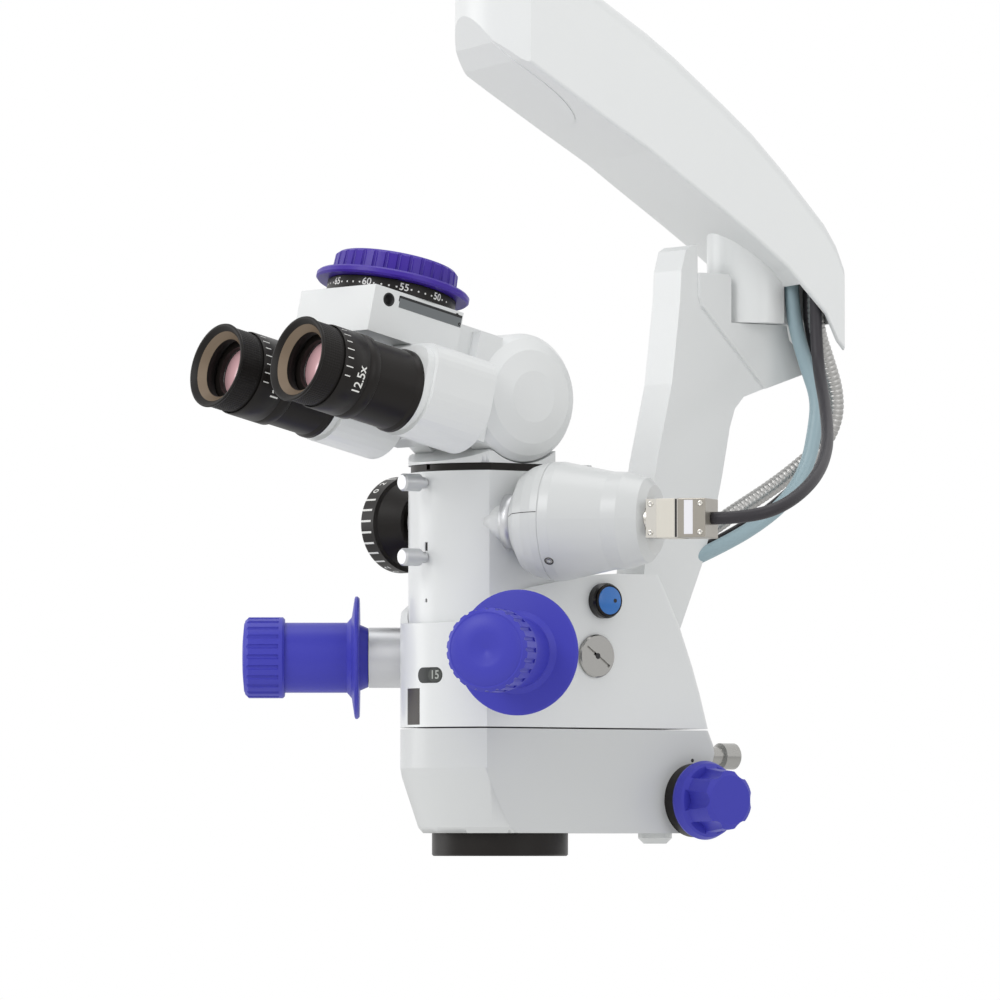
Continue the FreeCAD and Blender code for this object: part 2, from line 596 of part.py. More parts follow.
def grips():
    for sign, word in ((1, "right"), (-1, "left")):
        base, way = grip_line(sign, d["grip_flange_at"])
        place = facing(base, way, (0, 0, 1))
        sleeve = turned(word + "_sleeve_body", [
            ("0", "0 - 78"), ("grip_spindle", "0 - 78"), ("grip_spindle", "0 - 58"),
            ("sleeve_radius", "0 - 58"), ("sleeve_radius", "0 - 5"),
            ("grip_spindle", "0 - 5"), ("grip_spindle", "grip_body_length + 10"),
            ("0", "grip_body_length + 10")], place)
        trim = box(word + "_sleeve_trim", "60", "120", "60",
                   at(d["housing_half"] - 60 if sign > 0 else -d["housing_half"], -60,
                      d["grip_level"] - 30))
        spindle = cylinder(word + "_spindle", "grip_spindle", "30",
                           facing(grip_line(sign, 46)[0], way))
        keep(fuse(word + "_sleeve_fuse", cut(word + "_sleeve_cut", sleeve, trim), spindle),
             word + "_grip_sleeve")
        gap = "0 - 4.7"
        points = [("grip_spindle + 0.05", gap), ("grip_body_radius - 3", gap),
                  ("grip_body_radius - 1", "0"), ("grip_flange_radius - 1", "0"),
                  ("grip_flange_radius", "1"), ("grip_flange_radius", "grip_flange_thick - 0.5"),
                  ("grip_flange_radius - 1", "grip_flange_thick"),
                  ("grip_body_radius + 3", "grip_flange_thick + 1.5"),
                  ("grip_body_radius", "grip_flange_thick + 4"),
                  ("grip_body_radius", "grip_flange_thick + grip_body_length"),
                  ("grip_end_radius - 1", "grip_flange_thick + grip_body_length"),
                  ("grip_end_radius", "grip_flange_thick + grip_body_length + 1"),
                  ("grip_end_radius", "grip_flange_thick + grip_body_length + grip_end_length - 2"),
                  ("grip_end_radius - 2", "grip_flange_thick + grip_body_length + grip_end_length"),
                  ("0", "grip_flange_thick + grip_body_length + grip_end_length"),
                  ("0", "grip_body_length + 10.3"), ("grip_spindle + 0.05", "grip_body_length + 10.3")]
        low = d["grip_flange_thick"] + d["grip_body_length"] + 3
        keep(ribbed(word + "_grip_cap", points, place, 24, d["grip_end_radius"] + 0.4, low,
                    low + d["grip_end_length"], d["rib_radius"]), word + "_grip_cap")


# Controls on the right side and the back.

def side_controls():
    x = d["housing_half"]
    keep(turned("dof_collar_body", [
        ("4.3", "0"), ("dof_radius", "0"), ("dof_radius", "4"), ("dof_radius - 0.8", "5"),
        ("4.3", "5")], facing((x, d["dof_y"], d["dof_z"]), (1, 0, 0))), "depth_collar")
    keep(turned("dof_knob_body", [
        ("0", "0 - 1.8"), ("4.25", "0 - 1.8"), ("4.25", "5.3"), ("dof_radius - 1.6", "5.3"),
        ("dof_radius - 1.8", "10"), ("dof_radius - 2.6", "11"), ("0", "11")],
        facing((x, d["dof_y"], d["dof_z"]), (1, 0, 0))), "depth_knob")
    cap = turned("lock_cap_body", [
        ("0", "0 - 8"), ("6.2", "0 - 8"), ("6.2", "fit"), ("cap_radius", "fit"),
        ("cap_radius", "1.6"), ("cap_radius - 0.6", "2.2"), ("0", "2.2")],
        facing((x, d["cap_y"], d["cap_z"]), (1, 0, 0)))
    slit = box("lock_cap_slit", "6", "18", "1.6",
               FreeCAD.Placement(vector(x + 1.2, d["cap_y"] - 7.6, d["cap_z"] + 4.2),
                                 FreeCAD.Rotation(vector(1, 0, 0), -35)))
    keep(cut("lock_cap_cut", cap, slit), "lock_cap")


def star_knob():
    """Six-lobed knob: a disc with scallops cut round its rim."""
    place = facing((d["housing_half"], d["star_y"], d["star_z"]), (1, 0, 0))
    keep(turned("star_base_body", [
        ("4.3", "0"), ("star_base", "0"), ("star_base", "7"), ("star_base - 1", "8"), ("4.3", "8")],
        place), "star_base")
    points = [("0", "0 - 8"), ("4.25", "0 - 8"), ("4.25", "8.3"), ("star_flange", "8.3"),
              ("star_flange + 0.4", "10"), ("star_flange - 1", "14"), ("star_radius", "16"),
              ("star_radius - 1.5", "30"), ("star_radius - 4", "31.5"), ("0", "31.5")]
    scallops = []
    for i in range(int(d["star_lobes"])):
        angle = math.radians(360.0 * (i + 0.5) / d["star_lobes"])
        reach = d["star_radius"] + 3.2
        spot = place.multVec(vector(reach * math.cos(angle), reach * math.sin(angle), 15))
        scallops.append(Part.makeCylinder(6.5, 30, spot, vector(1, 0, 0)))
    keep(cut("star_cut", turned("star_turned", points, place),
             plain("star_scallops", Part.makeCompound(scallops))), "star_knob")


def rear_parts():
    keep(turned("rear_screw_body", [
        ("0", "0 - 12"), ("4.2", "0 - 12"), ("4.2", "fit"), ("rear_screw_radius - 2", "fit"),
        ("rear_screw_radius - 2", "8"), ("rear_screw_radius", "9"),
        ("rear_screw_radius", "rear_screw_length - 1"),
        ("rear_screw_radius - 1", "rear_screw_length"), ("0", "rear_screw_length")],
        facing((d["rear_screw_x"], 116.2, d["rear_screw_z"]), (0, 1, 0))), "rear_screw")
    keep(turned("foot_button_body", [
        ("0", "0 - 5.5"), ("6", "0 - 5.5"), ("9", "0 - 2.5"), ("9", "0"), ("0", "0")],
        at(16, 91, d["lower_floor"])), "foot_button")
    keep(box("display_window_box", "18.8", "2", "8.8", at(-1.9, -51.2, 89.9)), "display_window")
    keep(box("sensor_window_box", "12.8", "2", "18.8", at(-12.9, -50.6, 68.7)), "sensor_window")


# Carrier: the leg behind the microscope and the block that turns under the arm.

def carrier():
    leg = padded("leg_body", "YZ_Plane", [
        ("92", "80"), ("98.5", "80"), ("main_back - 6", "lower_top + 20"),
        ("main_back - 10", "lower_top + 38"), ("main_back - 0.5", "lower_top + 55"),
        ("126", "155"), ("135.6", "185"), ("140", "203"), ("145.5", "230"), ("149", "240"),
        ("155", "246.5"), ("168.7", "251.3"), ("125.5", "294.3"), ("123.5", "299.6"),
        ("123.5", "327"), ("119.5", "326.5"), ("115.6", "324"), ("112.5", "313"), ("111.5", "296"),
        ("106", "252"), ("96", "211"), ("90", "180"), ("87", "150"), ("87", "80")],
        "2 * leg_half")
    keep(leg, "carrier_leg")
    block = padded("block_body", "YZ_Plane", [
        ("168.7", "251.3"), ("198", "261"), ("199", "263"), ("199", "265.5"), ("185", "278"),
        ("183", "block_top"), ("swivel_y - boss_radius - 1", "block_top"),
        ("swivel_y - boss_radius - 1", "block_top + 24"), ("swivel_y - boss_radius - 3", "block_top + 26"),
        ("123.5", "block_top + 26"),
        ("123.5", "299.6"), ("125.5", "294.3")], "2 * block_half")
    well = cylinder("shaft_well", "shaft_radius", "80", at(0, d["swivel_y"], d["shaft_low"]))
    keep(cut("block_cut", block, well), "carrier_block")
    keep(cylinder("swivel_shaft_rod", "shaft_radius", "shaft_top - shaft_low",
                  at(0, d["swivel_y"], d["shaft_low"])), "swivel_shaft")


# The arm is a casting whose upright sections change all the way along it.
ARM_SECTIONS = (
    # distance along, underside, top, half width
    (-35, 271, 319, 46), (-31, 276, 329.5, 46), (-24.6, 290, 340, 46), (-3, 313.5, 365.5, 46),
    (17, 330, 387, 46), (33, 342, 401.5, 46), (47.5, 352.5, 414, 46), (62, 363, 426.5, 46),
    (77.5, 374.5, 438.5, 46), (104, 391.5, 456.5, 46), (120, 402, 469, 46),
    (136, 412.5, 481, 46), (150, 422, 491, 46), (160, 432, 497, 46), (167, 448, 496, 46))


def section(along, low, high, half):
    """One upright section of the arm, with round upper and lower corners."""
    corners = ((half, low, d["arm_low_edge"], 270), (half, high, d["arm_top_edge"], 0),
               (-half, high, d["arm_top_edge"], 90), (-half, low, d["arm_low_edge"], 180))
    ends = []
    arcs = []
    for x, z, radius, start in corners:
        middle_x = x - math.copysign(radius, x)
        middle_z = z + radius if z == low else z - radius
        spots = []
        for turn in (start, start + 45, start + 90):
            angle = math.radians(turn)
            spots.append(vector(middle_x + radius * math.cos(angle), -along,
                                middle_z + radius * math.sin(angle)))
        arcs.append(Part.Arc(*spots).toShape())
        ends.append((spots[0], spots[2]))
    edges = []
    for i, arc in enumerate(arcs):
        edges.append(arc)
        edges.append(Part.LineSegment(ends[i][1], ends[(i + 1) % 4][0]).toShape())
    return Part.Wire(edges)


def arm():
    """Casting that slopes up from the swivel to the stand's collar, and its cover."""
    place = FreeCAD.Placement(vector(0, d["swivel_y"], 0),
                              FreeCAD.Rotation(vector(0, 0, 1), -d["arm_yaw"]))
    end = d["arm_end"]
    bar = Part.makeLoft([section(*row) for row in ARM_SECTIONS], True, True)
    nose = Part.makeCylinder(60, 400, vector(0, 60 - end, 200))
    tail = Part.makeBox(2 * d["arm_half"], 260, 400, vector(-d["arm_half"], 60 - end, 200))
    bar = bar.common(nose.fuse(tail))
    lowered = bar.copy()
    lowered.translate(vector(0, 0, -d["cover_thick"]))
    reach = d["cover_length"] / 2 - d["cover_half"]
    oval = [Part.makeCylinder(d["cover_half"], 100, vector(0, sign * reach - d["cover_at"], 370))
            for sign in (-1, 1)]
    oval.append(Part.makeBox(2 * d["cover_half"], 2 * reach, 100,
                             vector(-d["cover_half"], -d["cover_at"] - reach, 370)))
    cover = lowered.cut(bar).common(oval[0].fuse(oval[1:])).common(
        Part.makeBox(200, 200, 90, vector(-100, -end, 370)))
    boss = Part.makeCylinder(d["boss_radius"], d["boss_high"] - d["boss_low"],
                             vector(0, 0, d["boss_low"]))
    collar = Part.makeCylinder(d["stand_radius"], d["collar_top"] - 440,
                               vector(0, -d["stand_at"], 440))
    tools = [
        Part.makeCylinder(d["shaft_radius"] + 0.05, d["shaft_top"] + 1 - 280, vector(0, 0, 280)),
        Part.makeBox(31, 22.5, 70, vector(12, 10, 252)),
        Part.makeBox(31, 12, 31, vector(12, 28, 255)),
        Part.makeCylinder(d["stand_bore"], 40, vector(0, -d["stand_at"], d["collar_top"] - 40))]
    for i in range(int(d["bolt_count"])):
        angle = 2 * math.pi * i / d["bolt_count"]
        tools.append(Part.makeCylinder(
            d["bolt_bore"], 16, vector(d["bolt_circle"] / 2 * math.cos(angle),
                                       -d["stand_at"] + d["bolt_circle"] / 2 * math.sin(angle),
                                       d["collar_top"] - 16)))
    bar = bar.fuse([boss, collar]).cut(tools)
    for label, shape in (("arm_casting", bar), ("arm_cover", cover)):
        piece = plain(label + "_shape", shape.Solids[0])
        piece.Placement = place
        keep(piece, label)


# Cords between the arm's slot and the carrier. The arcs are as large as the runs allow.
ROUTES = {
    "light_hose": ("hose_diameter", (
        (22, 179.3, 321.7), (22, 180, 302), (22.8, 182.5, 283), (26, 188, 262), (31, 190.8, 246),
        (32, 188.5, 231), (32, 183, 209), (30, 170, 190), (24, 151, 175),
        (13, 131.5, 163), (5, 121, 157))),
    "metal_conduit": ("conduit_diameter", (
        (33.4, 187, 321.7), (33.4, 187.3, 301), (33.5, 187.9, 283), (33, 196, 265),
        (32, 202.5, 250), (30.5, 203.5, 235), (26, 198, 220.5), (20, 186, 209), (14, 172, 197.6),
        (9, 151.7, 185), (6, 138.2, 176), (5, 127.5, 169.5))),
    "video_lead": ("lead_diameter", (
        (41.6, 180.9, 321.7), (42, 180.6, 302), (42.5, 180.2, 283), (47.5, 178, 260),
        (76, 160, 236), (114, 130, 213), (145, 95, 194), (158.5, 62, 179), (151, 42.27, 174),
        (137.32, 33.05, 174))),
    "control_lead": ("lead_diameter", (
        (24, 190.2, 321.7), (24, 190.3, 302), (23.5, 191.5, 283), (23, 198, 268),
        (22, 205.5, 254), (18, 210.4, 235), (14, 207.5, 215), (9, 193.2, 198.5),
        (5, 172.2, 182.5), (2, 148.5, 170), (0, 126, 160))),
}


def cords():
    for label, (size, route) in ROUTES.items():
        points = [vector(*point) for point in route]
        runs = [points[i + 1] - points[i] for i in range(len(points) - 1)]
        edges = []
        radii = []
        start = points[0]
        for before, after, corner in zip(runs, runs[1:], points[1:]):
            half_turn = before.getAngle(after) / 2
            radius = 0.45 * min(before.Length, after.Length) / math.tan(half_turn)
            radii.append(radius)
            back = radius * math.tan(half_turn)
            inward = before.normalize() * -1
            outward = vector(after.x, after.y, after.z).normalize()
            entry = corner + inward * back
            leave = corner + outward * back
            middle = (inward + outward).normalize()
            top = corner + middle * (radius / math.cos(half_turn) - radius)
            edges.append(Part.LineSegment(start, entry).toShape())
            edges.append(Part.Arc(entry, top, leave).toShape())
            start = leave
        edges.append(Part.LineSegment(start, points[-1]).toShape())
        path = Part.Wire(edges)
        thick = d[size] / 2
        ring = Part.Wire([Part.Circle(points[0], edges[0].tangentAt(0), thick).toShape()])
        tube = path.makePipeShell([ring], True, False)
        solid(label, tube)
        print("%s: %.0f mm long, least radius %.0f of %.1f mm, volume %.3f of its section" % (
            label, path.Length, min(radii), 2 * thick,
            tube.Volume / (math.pi * thick ** 2 * path.Length)))


makers = (lower_housing, main_housing, objective, inner_works, column, thumb_screws, camera,
          side_port, tube_base, tube_housing, bridge, spacing_knob, eyepieces, grips,
          side_controls, star_knob, rear_parts, carrier, arm, cords)
for make in makers:
    make()
doc.recompute()

for thing in doc.Objects:
    if {"Invalid", "Error"} & set(thing.State):
        raise RuntimeError("%s is %s" % (thing.Label, thing.State))
os.makedirs("parts", exist_ok=True)
for thing in kept:
    shape = thing.Shape
    if shape.isNull() or not shape.isValid() or not shape.Solids:
        raise RuntimeError("%s has no valid solid" % thing.Label)
    shape.exportStep("parts/%s.step" % thing.Label)
    print("%-22s %d solids %10.0f mm3" % (thing.Label, len(shape.Solids), shape.Volume))
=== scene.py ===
# %% [markdown]
# # Operating microscope head, seen as in the studio photograph
# The CAD model gives every hard shape. This script adds the camera, the cords, the marks and
# small fittings, the materials and the light. All lengths are in metres, in the CAD's frame:
# the origin is the centre of the objective ring's lower face, +Z is up, -Y is the surgeon's side.

import math

import bmesh
import bpy
import numpy as np
from mathutils import Matrix, Vector


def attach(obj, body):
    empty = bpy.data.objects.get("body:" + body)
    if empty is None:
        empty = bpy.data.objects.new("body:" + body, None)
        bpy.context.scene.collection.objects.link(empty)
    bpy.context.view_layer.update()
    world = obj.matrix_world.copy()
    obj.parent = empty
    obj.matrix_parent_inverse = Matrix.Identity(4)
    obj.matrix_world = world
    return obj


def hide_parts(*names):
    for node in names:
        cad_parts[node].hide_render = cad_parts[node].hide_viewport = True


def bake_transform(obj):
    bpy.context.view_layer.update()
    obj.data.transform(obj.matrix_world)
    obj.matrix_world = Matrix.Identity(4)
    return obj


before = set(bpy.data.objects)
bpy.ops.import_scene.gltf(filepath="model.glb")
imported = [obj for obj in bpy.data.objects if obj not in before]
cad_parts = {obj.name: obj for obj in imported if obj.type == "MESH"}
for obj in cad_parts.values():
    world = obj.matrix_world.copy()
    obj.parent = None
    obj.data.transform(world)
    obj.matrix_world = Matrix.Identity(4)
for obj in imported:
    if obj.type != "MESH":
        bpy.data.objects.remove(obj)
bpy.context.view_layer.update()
MM = 0.001


# %% [markdown]
# ## Small tools
# A colour is given as the sRGB hex value that a screen shows, and one function makes it linear,
# because a shader reads linear light. Meshes could be drawn with Blender's own tools, step by
# step. Here each one is worked out as arrays of points, so a size is changed in one place.


def linear(hex_text):
    """sRGB to linear: v/12.92 up to 0.04045, above it ((v+0.055)/1.055) to the power 2.4."""
    rgb = [int(hex_text[i:i + 2], 16) / 255 for i in (1, 3, 5)]
    return [v / 12.92 if v <= 0.04045 else ((v + 0.055) / 1.055) ** 2.4 for v in rgb] + [1.0]


def add(tree, kind, links=None, settings=None, **inputs):
    """Adds a shader node: settings are its own fields, inputs its sockets, links its wires."""
    made = tree.nodes.new("ShaderNode" + kind)
    for key, value in (settings or {}).items():
        setattr(made, key, value)
    for key, value in inputs.items():
        made.inputs[key.replace("_", " ")].default_value = value
    for key, source in (links or {}).items():
        tree.links.new(source, made.inputs[key])
    return made


def new_material(name):
    """An empty node material and its tree."""
    made = bpy.data.materials.new(name)
    made.use_nodes = True
    made.node_tree.nodes.clear()
    return made, made.node_tree


def finish_material(tree, shader):
    """Wires the shader to the material's output."""
    add(tree, "OutputMaterial", {"Surface": shader.outputs[0]})


def object_noise(tree, size_mm, detail=2.0, stretch=(1, 1, 1)):
    """Noise whose spots are about size_mm across, in the object's own coordinates."""
    spot = add(tree, "TexCoord").outputs["Object"]
    scaled = add(tree, "Mapping", {"Vector": spot}, Scale=[1000 / size_mm * s for s in stretch])
    return add(tree, "TexNoise", {"Vector": scaled.outputs[0]}, Scale=1.0, Detail=detail)


def make_mesh(name, points, faces, material, smooth=True):
    """A mesh object at the origin from an array of points and a list of faces."""
    data = bpy.data.meshes.new(name)
    data.from_pydata([tuple(p) for p in np.asarray(points, float)], [], faces)
    data.materials.append(material)
    data.polygons.foreach_set("use_smooth", [smooth] * len(data.polygons))
    data.update()
    made = bpy.data.objects.new(name, data)
    bpy.context.collection.objects.link(made)
    return made


def axes_of(direction, hint=(0, 0, 1)):
    """Three unit vectors: two across the direction, and the direction itself."""
    along = np.array(direction, float)
    along /= np.linalg.norm(along)
    guide = np.array(hint, float)
    if abs(guide @ along) > 0.95 * np.linalg.norm(guide):
        guide = np.array((0.0, 0, 1.0) if abs(along[0]) > 0.7 else (1.0, 0, 0))
    side = np.cross(guide, along)
    side /= np.linalg.norm(side)
    return side, np.cross(along, side), along


def grid_faces(rows, columns, wrap=True):
    """Quads between rows of points, each row closed on itself when wrap is true."""
    last = columns if wrap else columns - 1
    i = np.arange(rows - 1)[:, None]
    j = np.arange(last)[None, :]
    k = (j + 1) % columns
    quads = np.stack([i * columns + j + 0 * k, i * columns + k, (i + 1) * columns + k,
                      (i + 1) * columns + j + 0 * k], -1)
    return quads.reshape(-1, 4).tolist()


def turned(name, base, direction, profile, material, steps=64, hint=(0, 0, 1)):
    """A surface turned about an axis. Each row of the profile is (radius, distance along)."""
    side, other, along = axes_of(direction, hint)
    rows = np.array(profile, float)
    turn = np.linspace(0, 2 * math.pi, steps, endpoint=False)
    ring = np.cos(turn)[:, None] * side + np.sin(turn)[:, None] * other
    points = (np.array(base, float) + rows[:, None, 1:] * along + rows[:, None, :1] * ring)
    return make_mesh(name, points.reshape(-1, 3), grid_faces(len(rows), steps), material)


def block(name, centre, side, other, along, size, material, bevel=0.0):
    """A box with its edges along three unit vectors."""
    signs = np.array([(x, y, z) for x in (-1, 1) for y in (-1, 1) for z in (-1, 1)], float)
    points = np.array(centre, float) + (signs * np.array(size) / 2) @ np.array((side, other, along))
    faces = [(0, 1, 3, 2), (4, 6, 7, 5), (0, 4, 5, 1), (2, 3, 7, 6), (0, 2, 6, 4), (1, 5, 7, 3)]
    made = make_mesh(name, points, faces, material, smooth=False)
    if bevel:
        edge = made.modifiers.new("edge", "BEVEL")
        edge.width = bevel
        edge.segments = 3
    return made


# %% [markdown]
# ## The photograph's camera
# The photograph is a long-lens studio view from the surgeon's right, 53 degrees round from the
# front, level with the objective. Its perspective is very flat: lines that run away from the
# camera hardly come together. A long lens far away gives that, where an orthographic camera
# would give none at all.

# %% Camera
VIEW_TURN = math.radians(53.0)
VIEW_RISE = math.radians(2.505)
VIEW_REACH = 4.2105
camera_data = bpy.data.cameras.new("photo_camera")
camera_data.lens = 288.0
camera_data.sensor_width = 36.0
camera_data.clip_start = 0.5
camera = bpy.data.objects.new("photo_camera", camera_data)
bpy.context.collection.objects.link(camera)
camera.location = (math.sin(VIEW_TURN) * VIEW_REACH, -math.cos(VIEW_TURN) * VIEW_REACH, 0.00316)
camera.rotation_euler = (math.pi / 2 + VIEW_RISE, 0, VIEW_TURN)
bpy.context.scene.camera = camera


# %% [markdown]
# ## Materials
# The head is cast aluminium under baked enamel, with anodised rings, silicone caps, rubber
# eyecups and bare metal fittings. An image texture could carry each finish, but it would need
# unwrapping. Noise in the object's own coordinates needs none, and stays sharp close up. Each
# finish starts from the real material's usual values, and its grain from a size in millimetres.

# %% Materials
def coated(name, hex_text, roughness, bump=0.02, size_mm=1.2, metallic=0.0, coat=0.0, sheen=0.0,
           gleam=0.5):
    """Paint, plastic or rubber: one colour, a fine uneven surface, and slightly uneven gloss."""
    made, tree = new_material(name)
    noise = object_noise(tree, size_mm)
    gloss = add(tree, "MapRange", {"Value": object_noise(tree, 14.0).outputs["Fac"]},
                To_Min=roughness * 0.88, To_Max=roughness * 1.12)
    bumps = add(tree, "Bump", {"Height": noise.outputs["Fac"]}, Strength=bump, Distance=0.0002)
    shader = add(tree, "BsdfPrincipled", {"Normal": bumps.outputs[0], "Roughness": gloss.outputs[0]},
                 Base_Color=linear(hex_text), Metallic=metallic, Coat_Weight=coat,
                 Coat_Roughness=0.12, Sheen_Weight=sheen, Specular_IOR_Level=gleam)
    finish_material(tree, shader)
    return made


def metal(name, hex_text, roughness, grain_mm=0.25, stretch=(1, 1, 12), bump=0.05):
    """Bare metal with a fine grain that runs across the stretched axis."""
    made, tree = new_material(name)
    grain = object_noise(tree, grain_mm, 1.0, stretch)
    gloss = add(tree, "MapRange", {"Value": grain.outputs["Fac"]},
                To_Min=roughness * 0.8, To_Max=roughness * 1.25)
    bumps = add(tree, "Bump", {"Height": grain.outputs["Fac"]}, Strength=bump, Distance=0.00005)
    shader = add(tree, "BsdfPrincipled", {"Normal": bumps.outputs[0], "Roughness": gloss.outputs[0]},
                 Base_Color=linear(hex_text), Metallic=1.0)
    finish_material(tree, shader)
    return made


def glass(name, hex_text, roughness, clear, coat_hex):
    """Coated lens glass: partly clear, with a tinted mirror coat that shows at a slant."""
    made, tree = new_material(name)
    shader = add(tree, "BsdfPrincipled", Base_Color=linear(hex_text), Roughness=roughness,
                 Transmission_Weight=clear, IOR=1.6, Coat_Weight=1.0, Coat_Roughness=0.02,
                 Coat_Tint=linear(coat_hex))
    finish_material(tree, shader)
    return made


# Baked enamel over cast aluminium: a smooth, faintly uneven coat with a soft highlight.
WHITE = coated("white enamel", "#E4E6E6", 0.3, 0.03, 1.6, coat=0.12)
GREY = coated("pale grey enamel", "#D0D2D2", 0.34, 0.03, 1.6, coat=0.1)
# Black-dyed anodising: matt and fine-grained, with very little gleam.
BLACK = coated("black anodised aluminium", "#1B1816", 0.38, 0.05, 0.5, gleam=0.22)
# Black lacquer on brass: smoother, with a thin clear coat that shows a sharp edge light.
RIM = coated("black lacquered brass", "#141111", 0.25, 0.02, 0.6, coat=0.15, gleam=0.4)
# Moulded rubber: rougher, so its highlight is wide and dim.
RUBBER = coated("eyecup rubber", "#161311", 0.48, 0.1, 0.5, sheen=0.05, gleam=0.2)
# Moulded silicone that can be sterilised: even colour, satin, no sharp highlight.
VIOLET = coated("violet silicone", "#4040B2", 0.42, 0.05, 0.9, gleam=0.3)
DEEP_VIOLET = coated("deep violet silicone", "#3E249A", 0.36, 0.05, 0.9, gleam=0.3)
# Glossy ABS with a polished mould.
BLUE = coated("blue knob plastic", "#1F6FC0", 0.25, 0.01, 1.0, coat=0.4)
# Smoked acrylic: almost black, with a dim reflection.
WINDOW = coated("smoked window", "#2B2E2D", 0.3, 0.0, 1.0, gleam=0.3)
DISPLAY = coated("display lens", "#454846", 0.25, 0.0, 1.0, gleam=0.4)
SENSOR = coated("smoked sensor strip", "#413D3A", 0.35, 0.0, 1.0, gleam=0.3)
# Extruded sheaths: the hose's is smooth, and the cables' is a little grained.
HOSE = coated("blue-grey hose skin", "#9AB1B9", 0.4, 0.04, 1.2)
CABLE = coated("cable sheath", "#38363A", 0.42, 0.06, 0.8, gleam=0.25)
# Printed and filled marks: matt paint that stands a hair above the dial.
INK = coated("white engraving paint", "#E8E8E4", 0.5, 0.0, 1.0)
PALE_INK = coated("pale display figure", "#A9ADA8", 0.4, 0.0, 1.0)
# Dark marks and joints: the index dots, split lines and the plug's dark line. Painted shade: the
# inside of holes, the lock cap's pit, the latch's shadow and the slot's top, where no light comes
# back.
DARK = coated("dark mark, joint and painted shade", "#1A1A1B", 0.6, 0.0, 1.0)
# Bare metals. Turning and brushing leave fine lines, which make the highlight uneven.
ALUMINIUM = metal("satin aluminium", "#CFD0D2", 0.42)
STEEL = metal("turned steel", "#A9A8A5", 0.25)
CONDUIT = metal("wound steel conduit", "#B4B3B1", 0.4)
NICKEL = metal("nickel-plated shell", "#D2CFC8", 0.22)
# The eyecup's inner cone: a bronze-coloured coat, half matt.
BRONZE = coated("eyecup inner face", "#7A6A58", 0.45, 0.05, 0.6, metallic=0.3)
# Plug and slot trim.
IVORY = coated("ivory connector label", "#DAD6CB", 0.4, 0.02, 1.0)
PLUG_GREY = coated("plug shell enamel", "#A19C93", 0.3, 0.02, 0.8, metallic=0.5)
LABEL = coated("blank cable label", "#EDEDF2", 0.5, 0.0, 1.0)
CHANNEL = coated("slide bar paint", "#6E7274", 0.35, 0.02, 0.8, metallic=0.4)
# Coated glass: the eye lens's pale pink base colour is a painted reflection of its coat, and the
# objective is nearly clear.
LENS = glass("lens glass with painted reflection", "#F6E6DF", 0.15, 0.0, "#F2D6E0")
OBJECTIVE = glass("objective glass", "#6A6F86", 0.02, 0.6, "#9FB4FF")


# %% [markdown]
# ## Free cords
# Four cords cross from the arm to the carrier: a fibre light hose, a wound steel conduit and two
# leads. A Blender curve with a bevel would do for three of them. The conduit's skin rises and
# falls along its line, so all four are swept from points of a smooth NURBS line, whose controls
# are the route's points.

# %% Cords
ROUTES = {
    "light_hose": (
        (22, 179.3, 321.7), (22, 180, 302), (22.8, 182.5, 283), (26, 188, 262), (31, 190.8, 246),
        (32, 188.5, 231), (32, 183, 209), (30, 170, 190), (24, 151, 175),
        (13, 131.5, 163), (5, 121, 157)),
    "metal_conduit": (
        (33.4, 187, 321.7), (33.4, 187.3, 301), (33.5, 187.9, 283), (33, 196, 265),
        (32, 202.5, 250), (30.5, 203.5, 235), (26, 198, 220.5), (20, 186, 209), (14, 172, 197.6),
        (9, 151.7, 185), (6, 138.2, 176), (5, 127.5, 169.5)),
    "video_lead": (
        (41.6, 180.9, 321.7), (42, 180.6, 302), (42.5, 180.2, 283), (47.5, 178, 260),
        (76, 160, 236), (114, 130, 213), (145, 95, 194), (158.5, 62, 179), (151, 42.27, 174),
        (137.32, 33.05, 174)),
    "control_lead": (
        (24, 190.2, 321.7), (24, 190.3, 302), (23.5, 191.5, 283), (23, 198, 268),
        (22, 205.5, 254), (18, 210.4, 235), (14, 207.5, 215), (9, 193.2, 198.5),
        (5, 172.2, 182.5), (2, 148.5, 170), (0, 126, 160)),
}
CORD_LOOKS = {
    # name: material, diameter, record slot, stiffness
    "light_hose": (HOSE, 8.0, "hose_grey", "stiff"),
    "metal_conduit": (CONDUIT, 9.0, "conduit_steel", "stiff"),
    "video_lead": (CABLE, 6.6, "cable_black", "medium"),
    "control_lead": (CABLE, 6.6, "cable_black", "medium"),
}


def smooth_line(name, route):
    """The points of a NURBS line of order 3 that has the route's points as its controls."""
    curve = bpy.data.curves.new(name, "CURVE")
    curve.dimensions = "3D"
    curve.resolution_u = 24
    spline = curve.splines.new("NURBS")
    spline.points.add(len(route) - 1)
    spline.points.foreach_set("co", [c for p in route for c in (*(v * MM for v in p), 1.0)])
    spline.order_u = 3
    spline.use_endpoint_u = True
    holder = bpy.data.objects.new(name, curve)
    bpy.context.collection.objects.link(holder)
    bpy.context.view_layer.update()
    mesh = bpy.data.meshes.new_from_object(holder)
    points = np.zeros(len(mesh.vertices) * 3)
    mesh.vertices.foreach_get("co", points)
    bpy.data.objects.remove(holder)
    return points.reshape(-1, 3)


def resample(points, step):
    """The same line with points an even step apart."""
    lengths = np.concatenate([[0], np.cumsum(np.linalg.norm(np.diff(points, axis=0), axis=1))])
    count = max(2, int(round(lengths[-1] / step)) + 1)
    at = np.linspace(0, lengths[-1], count)
    return np.stack([np.interp(at, lengths, points[:, i]) for i in range(3)], 1), at


def carried_frames(points):
    """Two directions across the line at each point, carried along it without twisting."""
    ahead = np.gradient(points, axis=0)
    ahead /= np.linalg.norm(ahead, axis=1)[:, None]
    sides = np.zeros_like(points)
    side = axes_of(ahead[0])[0]
    for i, way in enumerate(ahead):
        side = side - way * (side @ way)
        side /= np.linalg.norm(side)
        sides[i] = side
    return sides, np.cross(ahead, sides)


